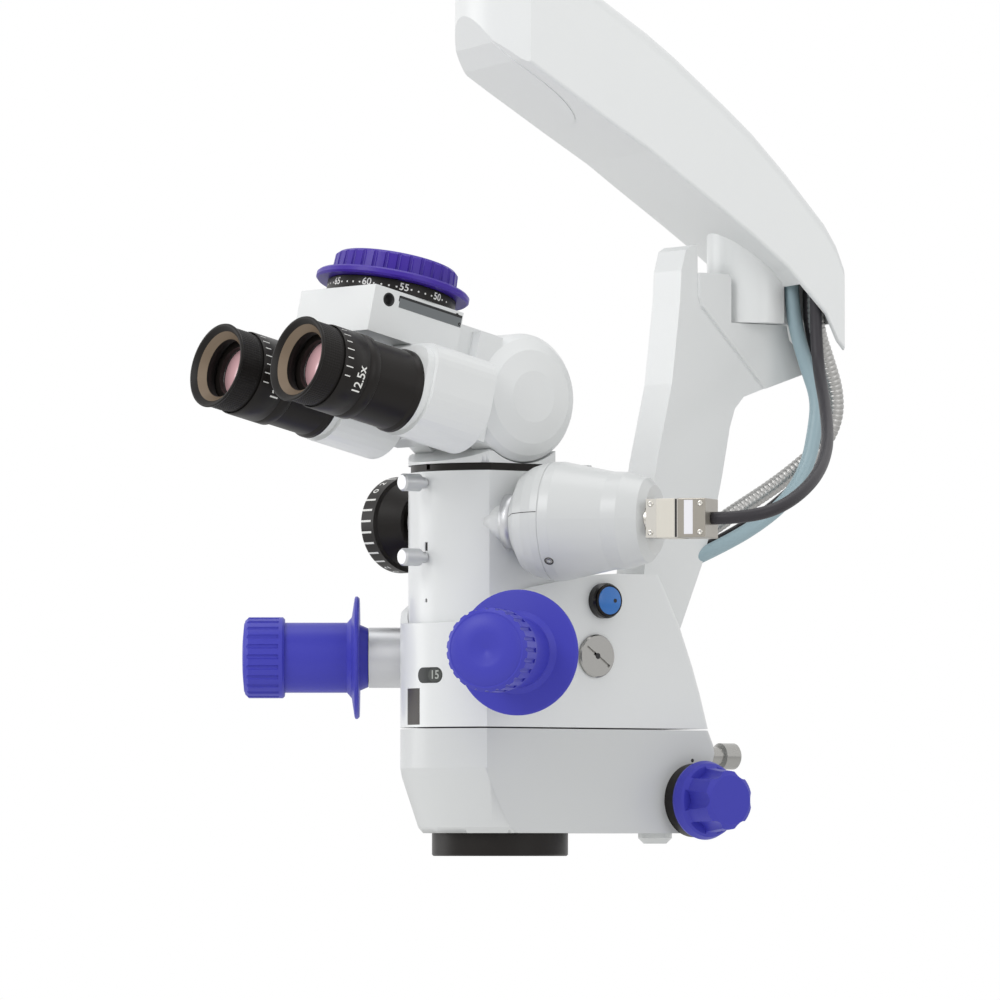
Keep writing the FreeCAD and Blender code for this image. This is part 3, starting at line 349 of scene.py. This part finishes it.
def sweep(name, points, radius, material, steps=28):
    """A closed tube along a line. The radius is one number, or one for each point."""
    sides, others = carried_frames(points)
    turn = np.linspace(0, 2 * math.pi, steps, endpoint=False)
    radii = np.broadcast_to(radius, len(points))[:, None, None]
    rings = points[:, None] + radii * (np.cos(turn)[None, :, None] * sides[:, None]
                                       + np.sin(turn)[None, :, None] * others[:, None])
    faces = grid_faces(len(points), steps)
    faces.append(list(range(steps))[::-1])
    faces.append([(len(points) - 1) * steps + i for i in range(steps)])
    return make_mesh(name, rings.reshape(-1, 3), faces, material)


WIND = 2.7
WIND_DEPTH = 0.45
for label, route in ROUTES.items():
    material, diameter, slot_name, stiffness = CORD_LOOKS[label]
    line = smooth_line(label + "_line", route)
    if label == "metal_conduit":
        # The radius falls by the groove's depth once in each turn of the wound strip.
        path, at = resample(line, WIND / 10 * MM)
        wave = np.abs(np.sin(math.pi * at / (WIND * MM)))
        radius = (diameter / 2 - WIND_DEPTH * (1 - wave) ** 2) * MM
    else:
        path, at = resample(line, 2.0 * MM)
        radius = diameter / 2 * MM
    cord = sweep(label + "_skin", path, radius, material)
    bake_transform(cord)
    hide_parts(label)
    print(label, "is", round(float(at[-1]) / MM), "mm long")


# %% [markdown]
# ## Materials on the CAD nodes
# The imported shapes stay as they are. Each could get its own copy of a finish, but pieces of one
# material came from one batch, so they share it, and a change of a finish reaches all of them.

# %% Node materials
LOOKS = {
    WHITE: ["arm_casting", "arm_cover", "carrier_block", "carrier_leg", "main_housing",
            "filter_module", "spacer_module", "splitter_module", "tube_base", "tube_housing",
            "prism_bridge", "right_ear", "left_ear"],
    GREY: ["lower_housing", "camera_body", "camera_clamp", "foot_button"],
    BLACK: ["objective_ring", "tube_collar", "port_ring", "spacing_scale", "right_barrel",
            "left_barrel", "right_diopter_ring", "left_diopter_ring", "star_base"],
    RIM: ["depth_collar"],
    ALUMINIUM: ["right_grip_sleeve", "left_grip_sleeve", "camera_neck", "port_tube",
                "chassis_plate", "right_zoom_tube", "left_zoom_tube", "prism_shelf",
                "upper_thumb_screw", "lower_thumb_screw"],
    STEEL: ["swivel_shaft", "pivot_pin", "lock_cap", "rear_screw"],
    VIOLET: ["right_grip_cap", "left_grip_cap", "star_knob"],
    DEEP_VIOLET: ["spacing_knob"],
    BLUE: ["depth_knob"],
    RUBBER: ["right_eyecup", "left_eyecup"],
    LENS: ["right_eye_lens", "left_eye_lens", "splitter_prism"],
    OBJECTIVE: ["objective_lens"],
    WINDOW: ["display_window", "sensor_window"],
    NICKEL: ["camera_plug"],
}
for material, names in LOOKS.items():
    for name in names:
        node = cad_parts[name]
        node.data.materials.clear()
        node.data.materials.append(material)


# %% [markdown]
# ## Two recut castings
# The lower housing's front tapers like a cone, and the tube's foot stops behind the column. Both
# could be modelled anew, but only one corner of each differs from the CAD's mesh. So each is a
# merged copy of it with a cutter taken away by a Boolean modifier, and the screws' holes stay.

# %% Recut castings
def recut(name, node, cutter, material, body):
    """A copy of a node's mesh less the cutter, which then stands for the node."""
    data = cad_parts[node].data.copy()
    merged = bmesh.new()
    merged.from_mesh(data)
    bmesh.ops.remove_doubles(merged, verts=merged.verts, dist=0.002 * MM)
    merged.to_mesh(data)
    merged.free()
    holder = bpy.data.objects.new(name + "_whole", data)
    bpy.context.collection.objects.link(holder)
    taken = holder.modifiers.new("taken away", "BOOLEAN")
    taken.object = cutter
    taken.solver = "EXACT"
    bpy.context.view_layer.update()
    result = bpy.data.meshes.new_from_object(
        holder.evaluated_get(bpy.context.evaluated_depsgraph_get()))
    bpy.data.objects.remove(holder)
    bpy.data.objects.remove(cutter)
    result.materials.clear()
    result.materials.append(material)
    result.polygons.foreach_set("use_smooth", [True] * len(result.polygons))
    result.set_sharp_from_angle(angle=math.radians(25))
    made = bpy.data.objects.new(name, result)
    bpy.context.collection.objects.link(made)
    made.modifiers.new("even shading", "WEIGHTED_NORMAL").keep_sharp = True
    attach(made, body)
    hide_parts(node)
    print(name, len(result.polygons), "faces")


FRONT_RADIUS = 52.5
HOUSING_FLOOR = 12.0
taper = [(-12.0, -1.0), (-12.0, 0.0), (-9.5, 3.0), (-1.0, 29.0), (-0.03, 34.0), (-0.03, 56.0),
         (6.0, 56.0), (6.0, -1.0)]
taper = np.array([(FRONT_RADIUS + inward, HOUSING_FLOOR + rise) for inward, rise in taper]) * MM
# The half ring goes round the front only, from the right side by way of -Y to the left side.
turn = np.radians(np.linspace(-178, -2, 89))
ring = np.stack([np.cos(turn), np.sin(turn)], 1)
spots = np.concatenate([taper[None, :, :1] * ring[:, None],
                        np.broadcast_to(taper[None, :, 1:], (len(turn), len(taper), 1))], 2)
faces = grid_faces(len(turn), len(taper))
faces.append(list(range(len(taper)))[::-1])
faces.append([(len(turn) - 1) * len(taper) + i for i in range(len(taper))])
recut("lower_casing", "lower_housing",
      make_mesh("taper_cutter", spots.reshape(-1, 3), faces, GREY), GREY, "carrier")
# The foot's cutter leaves the stem: a U seen from above, from the collar up past the foot's rear.
FOOT_LEVEL = 205.3
foot_plan = np.array([(45, 10), (45, 70), (-45, 70), (-45, 10), (-17.05, 10), (-17.05, 16.05),
                      (17.05, 16.05), (17.05, 10)])
corners = [(x * MM, y * MM, level * MM) for level in (FOOT_LEVEL, 216.0) for x, y in foot_plan]
faces = grid_faces(2, len(foot_plan))
faces += [list(range(len(foot_plan)))[::-1], [len(foot_plan) + i for i in range(len(foot_plan))]]
recut("tube_foot", "tube_base", make_mesh("foot_cutter", corners, faces, WHITE), WHITE, "carrier")


# %% [markdown]
# ## Marks on the dials
# A mark is drawn flat, as a letter, a line or a dot, and is then laid round a cylinder: its
# distance along the page becomes an angle, which is the distance divided by the radius. The page
# is turned over where the dial's axis points the other way, so that letters are never mirrored.
# The real marks are engraved and filled with paint. A bump would blur at this size, so they are
# thin faces that stand 0.06 mm above the dial.

# %% Marks
def flat_text(word, height, middle=(0.0, 0.0)):
    """The points and faces of a word in the plain built-in font, centred on a spot, in mm."""
    data = bpy.data.curves.new(word, "FONT")
    data.body = word
    data.size = height / 0.7
    data.offset = 0.02 * height
    data.align_x = "CENTER"
    data.align_y = "CENTER"
    data.resolution_u = 4
    holder = bpy.data.objects.new(word, data)
    bpy.context.collection.objects.link(holder)
    bpy.context.view_layer.update()
    mesh = bpy.data.meshes.new_from_object(holder)
    points = np.zeros(len(mesh.vertices) * 3)
    mesh.vertices.foreach_get("co", points)
    faces = [list(face.vertices) for face in mesh.polygons]
    bpy.data.objects.remove(holder)
    return points.reshape(-1, 3) + (middle[0], middle[1], 0), faces


def flat_line(middle, width, length):
    """A rectangle: width along the page and length up it, in columns at most 1 mm wide."""
    columns = max(2, int(math.ceil(width)) + 1)
    across = middle[0] + np.linspace(-width / 2, width / 2, columns)
    points = [(u, middle[1] + side * length / 2, 0) for side in (-1, 1) for u in across]
    faces = [(i, i + 1, columns + i + 1, columns + i) for i in range(columns - 1)]
    return np.array(points), faces


def flat_stadium(middle, width, length, columns=25):
    """A window shape with two round ends: width along the page, length up it."""
    across = -width / 2 * np.cos(np.linspace(0, math.pi, columns))
    from_end = np.clip(width / 2 - np.abs(across), 0, length / 2)
    half = np.sqrt(np.maximum(length ** 2 / 4 - (length / 2 - from_end) ** 2, 1e-4))
    points = [(middle[0] + u, middle[1] + side * h, 0)
              for side in (-1, 1) for u, h in zip(across, half)]
    faces = [(i, i + 1, columns + i + 1, columns + i) for i in range(columns - 1)]
    return np.array(points), faces


def flat_dot(middle, radius, sides=12):
    """A many-sided disc: its corners are the middle plus the radius times cosine and sine."""
    turn = np.linspace(0, 2 * math.pi, sides, endpoint=False)
    points = np.stack([middle[0] + radius * np.cos(turn), middle[1] + radius * np.sin(turn),
                       0 * turn], 1)
    return points, [list(range(sides))]


def gather(shapes):
    """Several flat shapes as one list of points and faces."""
    points = []
    faces = []
    count = 0
    for spots, corners in shapes:
        points.append(spots)
        faces += [[count + i for i in corner] for corner in corners]
        count += len(spots)
    return np.concatenate(points), faces


def wrapped(name, shapes, base, across, upward, axis, radius, material, lift=0.06):
    """Flat shapes laid round a cylinder. Angle 0 is across, and the page goes up along the axis."""
    points, faces = gather(shapes)
    across, upward, axis = (np.array(way, float) for way in (across, upward, axis))
    hand = 1.0 if np.cross(upward, axis) @ across > 0 else -1.0
    angle = hand * points[:, 0] / radius
    ring = np.cos(angle)[:, None] * across + np.sin(angle)[:, None] * upward
    placed = np.array(base) + (radius + lift + points[:, 2:]) * ring + points[:, 1:2] * axis
    return make_mesh(name, placed * MM, faces, material, smooth=False)


def page(angle, radius, hand=1.0):
    """The distance along the page of a spot at that angle round the dial."""
    return hand * math.radians(angle) * radius


def fit(piece, body, slot_name, *replaced):
    """The piece rides on a body and may stand for CAD nodes. The slot name is not used."""
    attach(piece, body)
    if replaced:
        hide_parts(*replaced)
    return piece


# The viewing tube's own directions: forward to the eyepieces, and up from its bridge.
TUBE_TILT = math.radians(12.8)
RIGHT = np.array((1.0, 0.0, 0.0))
FORWARD = np.array((0.0, -math.cos(TUBE_TILT), math.sin(TUBE_TILT)))
UPWARD = np.array((0.0, math.sin(TUBE_TILT), math.cos(TUBE_TILT)))
PIVOT = np.array((0.0, -11.0, 239.5))
BACK = -FORWARD


def tube_spot(right, along, up):
    """A spot in the viewing tube: so far right, forward along it and up, from its pivot, in mm."""
    return PIVOT + RIGHT * right + FORWARD * along + UPWARD * up


EYE_HALF = 36.0
EYE_DROP = 17.8


def eye_spot(sign, along):
    """A spot on the right (1) or left (-1) eyepiece's axis, so far forward from the pivot."""
    return tube_spot(EYE_HALF * sign, along, -EYE_DROP)


# Spacing scale in millimetres between the eyes: a number each five, a dot for each one between.
SCALE_RADIUS = 34.0
DEGREES_PER_MM = 6.8
marks = []
for value in range(48, 76):
    spot = page(25 + (value - 55) * DEGREES_PER_MM, SCALE_RADIUS, -1.0)
    if value % 5 == 0:
        marks.append(flat_text(str(value), 3.7, (spot, 0.0)))
    else:
        marks.append(flat_dot((spot, -0.4), 0.5))
fit(wrapped("spacing_marks", marks, tube_spot(0, 70.2, 36.9), RIGHT, FORWARD, UPWARD,
            SCALE_RADIUS, INK), "viewing_tube", "white_enamel")

# Diopter rings: eight ticks and the magnification. A tick is each 12.3 degrees, 7.2 mm forward.
DIOPTER_RADIUS = 22.3
DIOPTER_MIDDLE = 120.8
FIRST_TICK, TICK_STEP, TICK_AT, TICK_WIDTH = -14, 12.3, 7.2, 0.55
for sign, word in ((1, "right"), (-1, "left")):
    marks = [flat_line((page(FIRST_TICK + TICK_STEP * i, DIOPTER_RADIUS), TICK_AT), TICK_WIDTH,
                       4.4 if i % 2 else 3.4) for i in range(8)]
    marks.append(flat_text("12.5x", 4.8, (page(-15, DIOPTER_RADIUS), -1.2)))
    fit(wrapped(word + "_diopter_marks", marks, eye_spot(sign, DIOPTER_MIDDLE), RIGHT, UPWARD,
                FORWARD, DIOPTER_RADIUS, INK), word + "_diopter", "white_enamel")

# Side ring: 27 places round it, with a white line at each, or a number at two places of nine.
SIDE_RADIUS = 25.8
SIDE_PLACES = 27
SIDE_REACH = 49.6
marks = []
for i in range(SIDE_PLACES):
    spot = (page(3 + i * 360 / SIDE_PLACES, SIDE_RADIUS), SIDE_REACH)
    if i % 9 in (3, 4):
        marks.append(flat_text("0" if i % 9 == 3 else "2", 4.2, spot))
    else:
        marks.append(flat_line(spot, 1.1, 8.6))
fit(wrapped("side_ring_marks", marks, (-35.0, 0.0, 177.0), (0, -1, 0), (0, 0, 1), (-1, 0, 0),
            SIDE_RADIUS, INK), "side_ring", "white_enamel")


# %% [markdown]
# ## Windows in the front of the housing
# The small window has round ends and a raised lens with a number at its right. The window below
# it is a plain smoked strip. Both follow the housing's round front, so they are flat shapes laid
# round it as the marks are, each a few hundredths of a millimetre above the last.

# %% Windows
HOUSING_RADIUS = 52.5


def front_piece(name, shapes, level, radius, material):
    """Flat shapes laid on the housing's round front, with the page's middle at that height."""
    return wrapped(name, shapes, (0.0, 0.0, level), (0, -1, 0), (1, 0, 0), (0, 0, 1), radius,
                   material, 0.0)


DISPLAY_LEVEL, SENSOR_LEVEL = 94.3, 78.1
DISPLAY_MIDDLE, FIGURE_MIDDLE, SENSOR_MIDDLE = (7.6, 0.0), (11.6, 0.0), (-6.6, 0.0)
for name, shape, level, lift, paint, slot_name, stands_for in (
        ("display_plate", flat_line(DISPLAY_MIDDLE, 19.4, 9.2), DISPLAY_LEVEL, 0.02, WHITE,
         "white_enamel", ()),
        ("display_glass", flat_stadium(DISPLAY_MIDDLE, 18.2, 8.2), DISPLAY_LEVEL, 0.05, WINDOW,
         "dark_window", ("display_window",)),
        ("display_lens", flat_stadium(FIGURE_MIDDLE, 9.4, 7.0), DISPLAY_LEVEL, 0.1, DISPLAY,
         "dark_window", ()),
        ("display_number", flat_text("15", 4.4, FIGURE_MIDDLE), DISPLAY_LEVEL, 0.14, PALE_INK,
         "dark_window", ()),
        ("sensor_strip", flat_line(SENSOR_MIDDLE, 12.6, 18.6), SENSOR_LEVEL, -0.2, SENSOR,
         "dark_window", ("sensor_window",))):
    fit(front_piece(name, [shape], level, HOUSING_RADIUS + lift, paint), "carrier", slot_name,
        *stands_for)


# %% [markdown]
# ## Eyecups
# Behind each cup's lip is a knurled ring, and the cup runs in under the dial ring, so both are
# turned here as long as the photograph shows them. The cup's cone inside is bronze-coloured, and
# a black sleeve leads from it to the lens, which is a shallow dome. All of these are turned on a
# lathe in the real object, so each is a profile carried round the eyepiece's axis. The knurl
# could be a bump, but it breaks the outline, so two crossing waves move its points.

# %% Eyecups
CUP_SEAT = 123.0


def knurled(name, base, direction, radius, length, depth, count, material):
    """A tube whose skin has small pyramids: two sets of waves that cross at a slant."""
    side, other, along = axes_of(direction, (1, 0, 0))
    steps = count * 6
    rows = np.linspace(0, length, 23)
    turn = np.linspace(0, 2 * math.pi, steps, endpoint=False)
    wave = (np.cos(count * turn[None, :] + rows[:, None] * 2.2)
            * np.cos(count * turn[None, :] - rows[:, None] * 2.2))
    edge = np.minimum(1.0, np.minimum(rows, length - rows) / 0.6)[:, None]
    reach = radius + depth * wave * edge - 0.25 * (1 - edge)
    ring = np.cos(turn)[:, None] * side + np.sin(turn)[:, None] * other
    points = np.array(base) + rows[:, None, None] * along + reach[..., None] * ring[None]
    return make_mesh(name, points.reshape(-1, 3) * MM, grid_faces(len(rows), steps), material)


def turned_mm(name, base, direction, profile, material, steps=64):
    """The same turned surface from a base and a profile in millimetres."""
    return turned(name, np.array(base) * MM, direction, np.array(profile) * MM, material, steps,
                  (1, 0, 0))


# Distances from the cup's seat: the dial ring's ends and seam, the knurl's ends, the cup's mouth.
RING_FOOT, RING_SEAM, RING_END = -14.7, -8.0, 8.2
KNURL_START, KNURL_LENGTH, CUP_MOUTH = 9.6, 12.0, 23.3

for sign, word in ((1, "right"), (-1, "left")):
    seat = eye_spot(sign, CUP_SEAT)
    fit(turned_mm(word + "_dial_ring", seat, FORWARD, [
        (17.1, RING_FOOT), (21.9, RING_FOOT), (22.3, RING_FOOT + 0.4), (22.3, RING_SEAM - 0.5),
        (21.8, RING_SEAM - 0.2), (21.8, RING_SEAM + 0.2), (22.3, RING_SEAM + 0.5),
        (22.3, RING_END - 0.9), (22.0, RING_END - 0.2), (21.85, RING_END), (21.75, RING_END - 0.2),
        (21.75, 0.6), (17.1, 0.6), (17.1, RING_FOOT)], BLACK, 96), word + "_diopter",
        "black_anodised", word + "_diopter_ring")
    fit(turned_mm(word + "_cup_shell", seat, FORWARD, [
        (17.1, 1.3), (20.9, 1.3), (21.1, KNURL_START), (21.1, KNURL_START + KNURL_LENGTH),
        (22.3, CUP_MOUTH - 1.4), (22.5, CUP_MOUTH - 0.7), (22.3, CUP_MOUTH - 0.1),
        (21.6, CUP_MOUTH), (20.9, CUP_MOUTH - 0.2), (15.5, 17.4), (15.5, 13.0), (17.1, 13.0),
        (17.1, 1.3)], RUBBER, 96), word + "_cup", "eyecup_rubber", word + "_eyecup")
    fit(knurled(word + "_cup_knurl", seat + FORWARD * KNURL_START, FORWARD, 21.35, KNURL_LENGTH,
                0.3, 46, RUBBER), word + "_cup", "eyecup_rubber")
    fit(turned_mm(word + "_cup_face", seat, FORWARD, [(15.5, 17.5), (18.8, 21.05)], BRONZE),
        word + "_cup", "eyecup_rubber")
    fit(turned_mm(word + "_lens_rim", seat, FORWARD,
                  [(13.5, 1.0), (13.5, 8.2), (13.1, 8.5), (12.8, 8.1)], RIM), word + "_ocular",
        "black_anodised")
    reach = np.linspace(12.9, 0.02, 12)
    fit(turned_mm(word + "_lens_dome", seat, FORWARD,
                  np.stack([reach, 7.6 + 2.4 * (1 - (reach / 12.9) ** 2)], 1), LENS, 72),
        word + "_ocular", "coated_glass", word + "_eye_lens")


# %% [markdown]
# ## Camera module
# A dark split line runs round the clamp, a small socket screw holds it from below, and the
# plug's shell has an ivory band, a dark line, a grey band with a blank label, and four screws.
# Bands could be colours of one material, but the real ones are sleeves on the shell, and their
# edges catch the light, so they are thin boxes round it with a small bevel.

# %% Camera fittings
CAMERA_TURN = math.radians(34.0)
CAMERA_WAY = np.array((math.cos(CAMERA_TURN), math.sin(CAMERA_TURN), 0.0))
CAMERA_SIDE = np.array((math.sin(CAMERA_TURN), -math.cos(CAMERA_TURN), 0.0))
CAMERA_BASE = np.array((35.0, -22.7, 174.0))
SKY = np.array((0.0, 0.0, 1.0))


def camera_spot(along, angle, radius):
    """A spot on the camera module: distance along it, angle up from its near side, radius."""
    turn = math.radians(angle)
    return (CAMERA_BASE + CAMERA_WAY * along
            + radius * (math.cos(turn) * CAMERA_SIDE + math.sin(turn) * SKY))


fit(turned_mm("camera_neck_tube", CAMERA_BASE, CAMERA_WAY,
              [(8.0, 0.5), (13.6, 0.5), (14.2, 0.9), (15.0, 7.3), (14.6, 7.3)], ALUMINIUM, 72),
    "carrier",
    "satin_aluminium", "camera_neck")
fit(turned_mm("camera_port_boss", CAMERA_BASE, CAMERA_WAY,
              [(9.0, -9.0), (9.5, -9.0), (9.5, 0.7)], WHITE, 72), "carrier", "white_enamel")
clamp_line = [(7.2, 16.9), (12, 25.6), (17.5, 28.7), (23, 30.4), (26.9, 30.9)]
points = [camera_spot(along, 7.2, radius + lift) + SKY * rise
          for along, radius in clamp_line for lift, rise in ((-0.4, -0.16), (0.04, -0.16),
                                                             (0.04, 0.16), (-0.4, 0.16))]
fit(make_mesh("clamp_split", np.array(points) * MM, grid_faces(len(clamp_line), 4), DARK, False),
    "carrier", "black_anodised")
screw_spot = camera_spot(31.4, -43.8, 30.7)
screw_way = screw_spot - (CAMERA_BASE + CAMERA_WAY * 31.4)
fit(turned_mm("clamp_screw_hole", screw_spot, screw_way,
              [(2.3, 0.0), (2.5, 0.42), (2.2, 0.5), (1.9, 0.3)], DARK, 32), "carrier",
    "black_anodised")
fit(turned_mm("clamp_screw", screw_spot, screw_way,
              [(1.9, 0.2), (1.8, 0.48), (1.0, 0.5), (0.9, 0.25), (0.02, 0.25)], STEEL, 32),
    "carrier", "steel")


def plug_block(name, start, end, material, grow=0.12, width=22.0, height=20.0, middle=(11, 0)):
    """A band round the plug's shell, from one distance along the camera to another."""
    centre = (CAMERA_BASE + CAMERA_WAY * (start + end) / 2 + CAMERA_SIDE * middle[0]
              + SKY * middle[1])
    size = (width + 2 * grow, height + 2 * grow, end - start)
    made = block(name, centre * MM, CAMERA_SIDE, SKY, CAMERA_WAY, [v * MM for v in size],
                 material, 0.4 * MM)
    return fit(made, "carrier", "connector_nickel")


plug_block("plug_ivory_band", 89.5, 99.4, IVORY)
plug_block("plug_dark_line", 99.4, 101.0, DARK, 0.05)
plug_block("plug_grey_band", 101.0, 116.1, PLUG_GREY)
plug_block("plug_label", 104.6, 109.4, LABEL, 0.0, 0.3, 17.6, (22.1, 0.4))
for index, (along, level) in enumerate(((86.4, 7.4), (86.4, -7.4), (113.3, 7.4), (113.3, -7.4))):
    spot = CAMERA_BASE + CAMERA_WAY * along + CAMERA_SIDE * 22.0 + SKY * level
    fit(turned_mm("plug_screw_%d" % index, spot, CAMERA_SIDE,
                  [(1.5, 0.0), (1.5, 0.4), (1.2, 0.62), (0.5, 0.66), (0.4, 0.4), (0.02, 0.4)],
                  NICKEL, 24), "carrier", "connector_nickel")


# %% [markdown]
# ## Small fittings
# The bridge's side channels hold a dark slide bar and two tiny screws, and its cross hole has a
# black bush. The other small parts are dots and dimples on the controls. They are too small to
# be worth a shape of their own in the CAD, but without them the surfaces look like a toy's.

# %% Small fittings
# The grips' axes cross behind the housing. Their caps end so far from that spot.
GRIP_CROSS = np.array((0.0, 52.0, 105.0))
GRIP_TURN = math.radians(37.0)
GRIP_REACH = 116.0 + 2.6 + 37.0 + 21.0

for sign, word in ((1, "right"), (-1, "left")):
    bar = block(word + "_slide_bar", tube_spot(31.2 * sign, 70, 30) * MM, RIGHT, FORWARD, UPWARD,
                (2.2 * MM, 35.6 * MM, 2.7 * MM), CHANNEL, 0.2 * MM)
    fit(bar, "viewing_tube", "satin_aluminium")
    # The dark strip along the slot's top is painted shade.
    for part, up, tall, paint in (("slot", 28.4, 6.0, CHANNEL), ("slot_shade", 31.0, 1.3, DARK)):
        strip = block("%s_%s" % (word, part), tube_spot(33.0 * sign, 67, up) * MM, RIGHT, FORWARD,
                      UPWARD, (0.3 * MM, 40.8 * MM, tall * MM), paint, 0.05 * MM)
        if part == "slot_shade":
            strip.data.transform(Matrix.Translation(RIGHT * sign * 0.05 * MM))
        fit(strip, "viewing_tube", "black_anodised")
    fit(turned_mm(word + "_bridge_bush", tube_spot(33.05 * sign, 94.2, 27.7), RIGHT * sign,
                  [(0.02, -4.0), (2.7, -4.0), (2.7, 0.0), (3.1, 0.12), (3.55, 0.0), (3.55, -7.0)],
                  DARK, 40), "viewing_tube", "black_anodised")
    for index, (along, up) in enumerate(((50.0, 31.4), (47.6, 27.0))):
        fit(turned_mm("%s_bridge_screw_%d" % (word, index), tube_spot(33 * sign, along, up),
                      RIGHT * sign, [(0.95, 0.0), (0.9, 0.2), (0.35, 0.22), (0.3, 0.05),
                                     (0.02, 0.05)], RIM, 20), "viewing_tube", "black_anodised")
    way = np.array((sign * math.sin(GRIP_TURN), -math.cos(GRIP_TURN), 0.0))
    end = GRIP_CROSS + way * GRIP_REACH
    fit(turned_mm(word + "_grip_dimple", end, way,
                  [(18.6, 0.0), (18.2, 0.5), (9.6, 1.3), (8.0, 1.15), (5.4, 0.4), (1.7, 0.25),
                   (1.3, 0.05), (0.02, 0.05)], VIOLET, 72), word + "_grip", "violet_silicone")


def dot(name, spot, direction, radius, material, body, slot_name, lift=0.05):
    """A small flat disc on a surface."""
    return fit(turned_mm(name, spot, direction, [(radius, 0.0), (radius * 0.96, lift),
                                                 (0.02, lift)], material, 24), body, slot_name)


KNOB_SEAT = (37.5, 39.2, 134.0)
fit(turned_mm("depth_knob_body", KNOB_SEAT, (1, 0, 0), [
    (4.2, 0.0), (4.2, 5.3), (8.1, 5.3), (8.3, 5.5), (8.3, 6.2), (8.1, 6.4), (7.4, 6.4), (7.2, 6.0)],
    BLACK, 72), "depth_knob", "blue_plastic", "depth_knob")
fit(turned_mm("depth_knob_face", KNOB_SEAT, (1, 0, 0),
              [(7.35, 6.2), (7.3, 6.45), (7.0, 6.6), (0.02, 6.6)], BLUE, 72), "depth_knob",
    "blue_plastic")
dot("depth_index", (44.1, 42.6, 134.0), (1, 0, 0), 1.1, DARK, "depth_knob", "blue_plastic")
dot("lower_mark", (37.5, 99.4, 50.5), (1, 0, 0), 1.0, DARK, "carrier", "grey_enamel")
dot("lock_cap_pit", (39.7, 34.5, 104.9), (1, 0, 0), 1.6, DARK, "lock_cap", "steel")
# A dark block painted as the latch's shadow.
latch = block("latch_shadow", (0.0, -47.4 * MM, 161.5 * MM), (1, 0, 0), (0, 1, 0), (0, 0, 1),
              (2.3 * MM, 0.6 * MM, 4.6 * MM), DARK)
fit(latch, "carrier", "black_anodised")
dot("column_pin", (0.0, -47.6, 133.5), (0, -1, 0), 1.05, STEEL, "carrier", "steel")


# %% [markdown]
# ## Studio
# The photograph has a pure white background. The camera, metal and glass see that white, while
# the pieces are lit by a dimmer surround, soft boxes and the pale floor far below, so the white
# enamel keeps its grey shades. From below, the floor is clear, so the underside can be seen.

# %% Studio
world = bpy.data.worlds.new("white surround")
bpy.context.scene.world = world
world.use_nodes = True
sky = world.node_tree
sky.nodes.clear()
rays = add(sky, "LightPath")
mirrored = add(sky, "Math", {0: rays.outputs["Is Camera Ray"], 1: rays.outputs["Is Glossy Ray"]},
               {"operation": "MAXIMUM"})
shown = add(sky, "Math", {0: mirrored.outputs[0], 1: rays.outputs["Is Transmission Ray"]},
            {"operation": "MAXIMUM"})
seen = add(sky, "Background", Color=(1, 1, 1, 1), Strength=1.0)
lit = add(sky, "Background", Color=(1, 1, 1, 1), Strength=0.62)
choice = add(sky, "MixShader", {0: shown.outputs[0], 1: lit.outputs[0], 2: seen.outputs[0]})
add(sky, "OutputWorld", {"Surface": choice.outputs[0]})


def soft_box(name, place, aim, size, power):
    """A rectangular lamp at a place, turned to face its aim, with its power in watts."""
    data = bpy.data.lights.new(name, "AREA")
    data.shape = "RECTANGLE"
    data.size, data.size_y = size
    data.energy = power
    made = bpy.data.objects.new(name, data)
    bpy.context.collection.objects.link(made)
    made.location = place
    made.rotation_euler = (Vector(aim) - Vector(place)).to_track_quat("-Z", "Y").to_euler()


soft_box("key", (0.3, -2.2, 1.6), (0, 0, 0.2), (1.2, 1.2), 22)
soft_box("side", (2.4, 0.2, 1.1), (0, 0.05, 0.2), (1.0, 1.6), 8)
soft_box("left", (-2.0, -1.4, 0.5), (0, 0, 0.15), (1.2, 1.2), 8)
soft_box("top", (0.0, 0.3, 2.4), (0, 0, 0.2), (1.6, 1.6), 12)

paint, tree = new_material("pale floor paint")
matt = add(tree, "BsdfDiffuse", Color=linear("#F2F2F1"))
clear = add(tree, "BsdfTransparent")
finish_material(tree, add(tree, "MixShader", {
    0: add(tree, "NewGeometry").outputs["Backfacing"], 1: matt.outputs[0], 2: clear.outputs[0]}))
FLOOR_DROP = 0.4
FLOOR_REACH = 10.0
corners = [(x * FLOOR_REACH, y * FLOOR_REACH, -FLOOR_DROP)
           for x, y in ((-1, -1), (1, -1), (1, 1), (-1, 1))]
make_mesh("floor", corners, [(0, 1, 2, 3)], paint, False)
bpy.context.scene.view_settings.view_transform = "Standard"
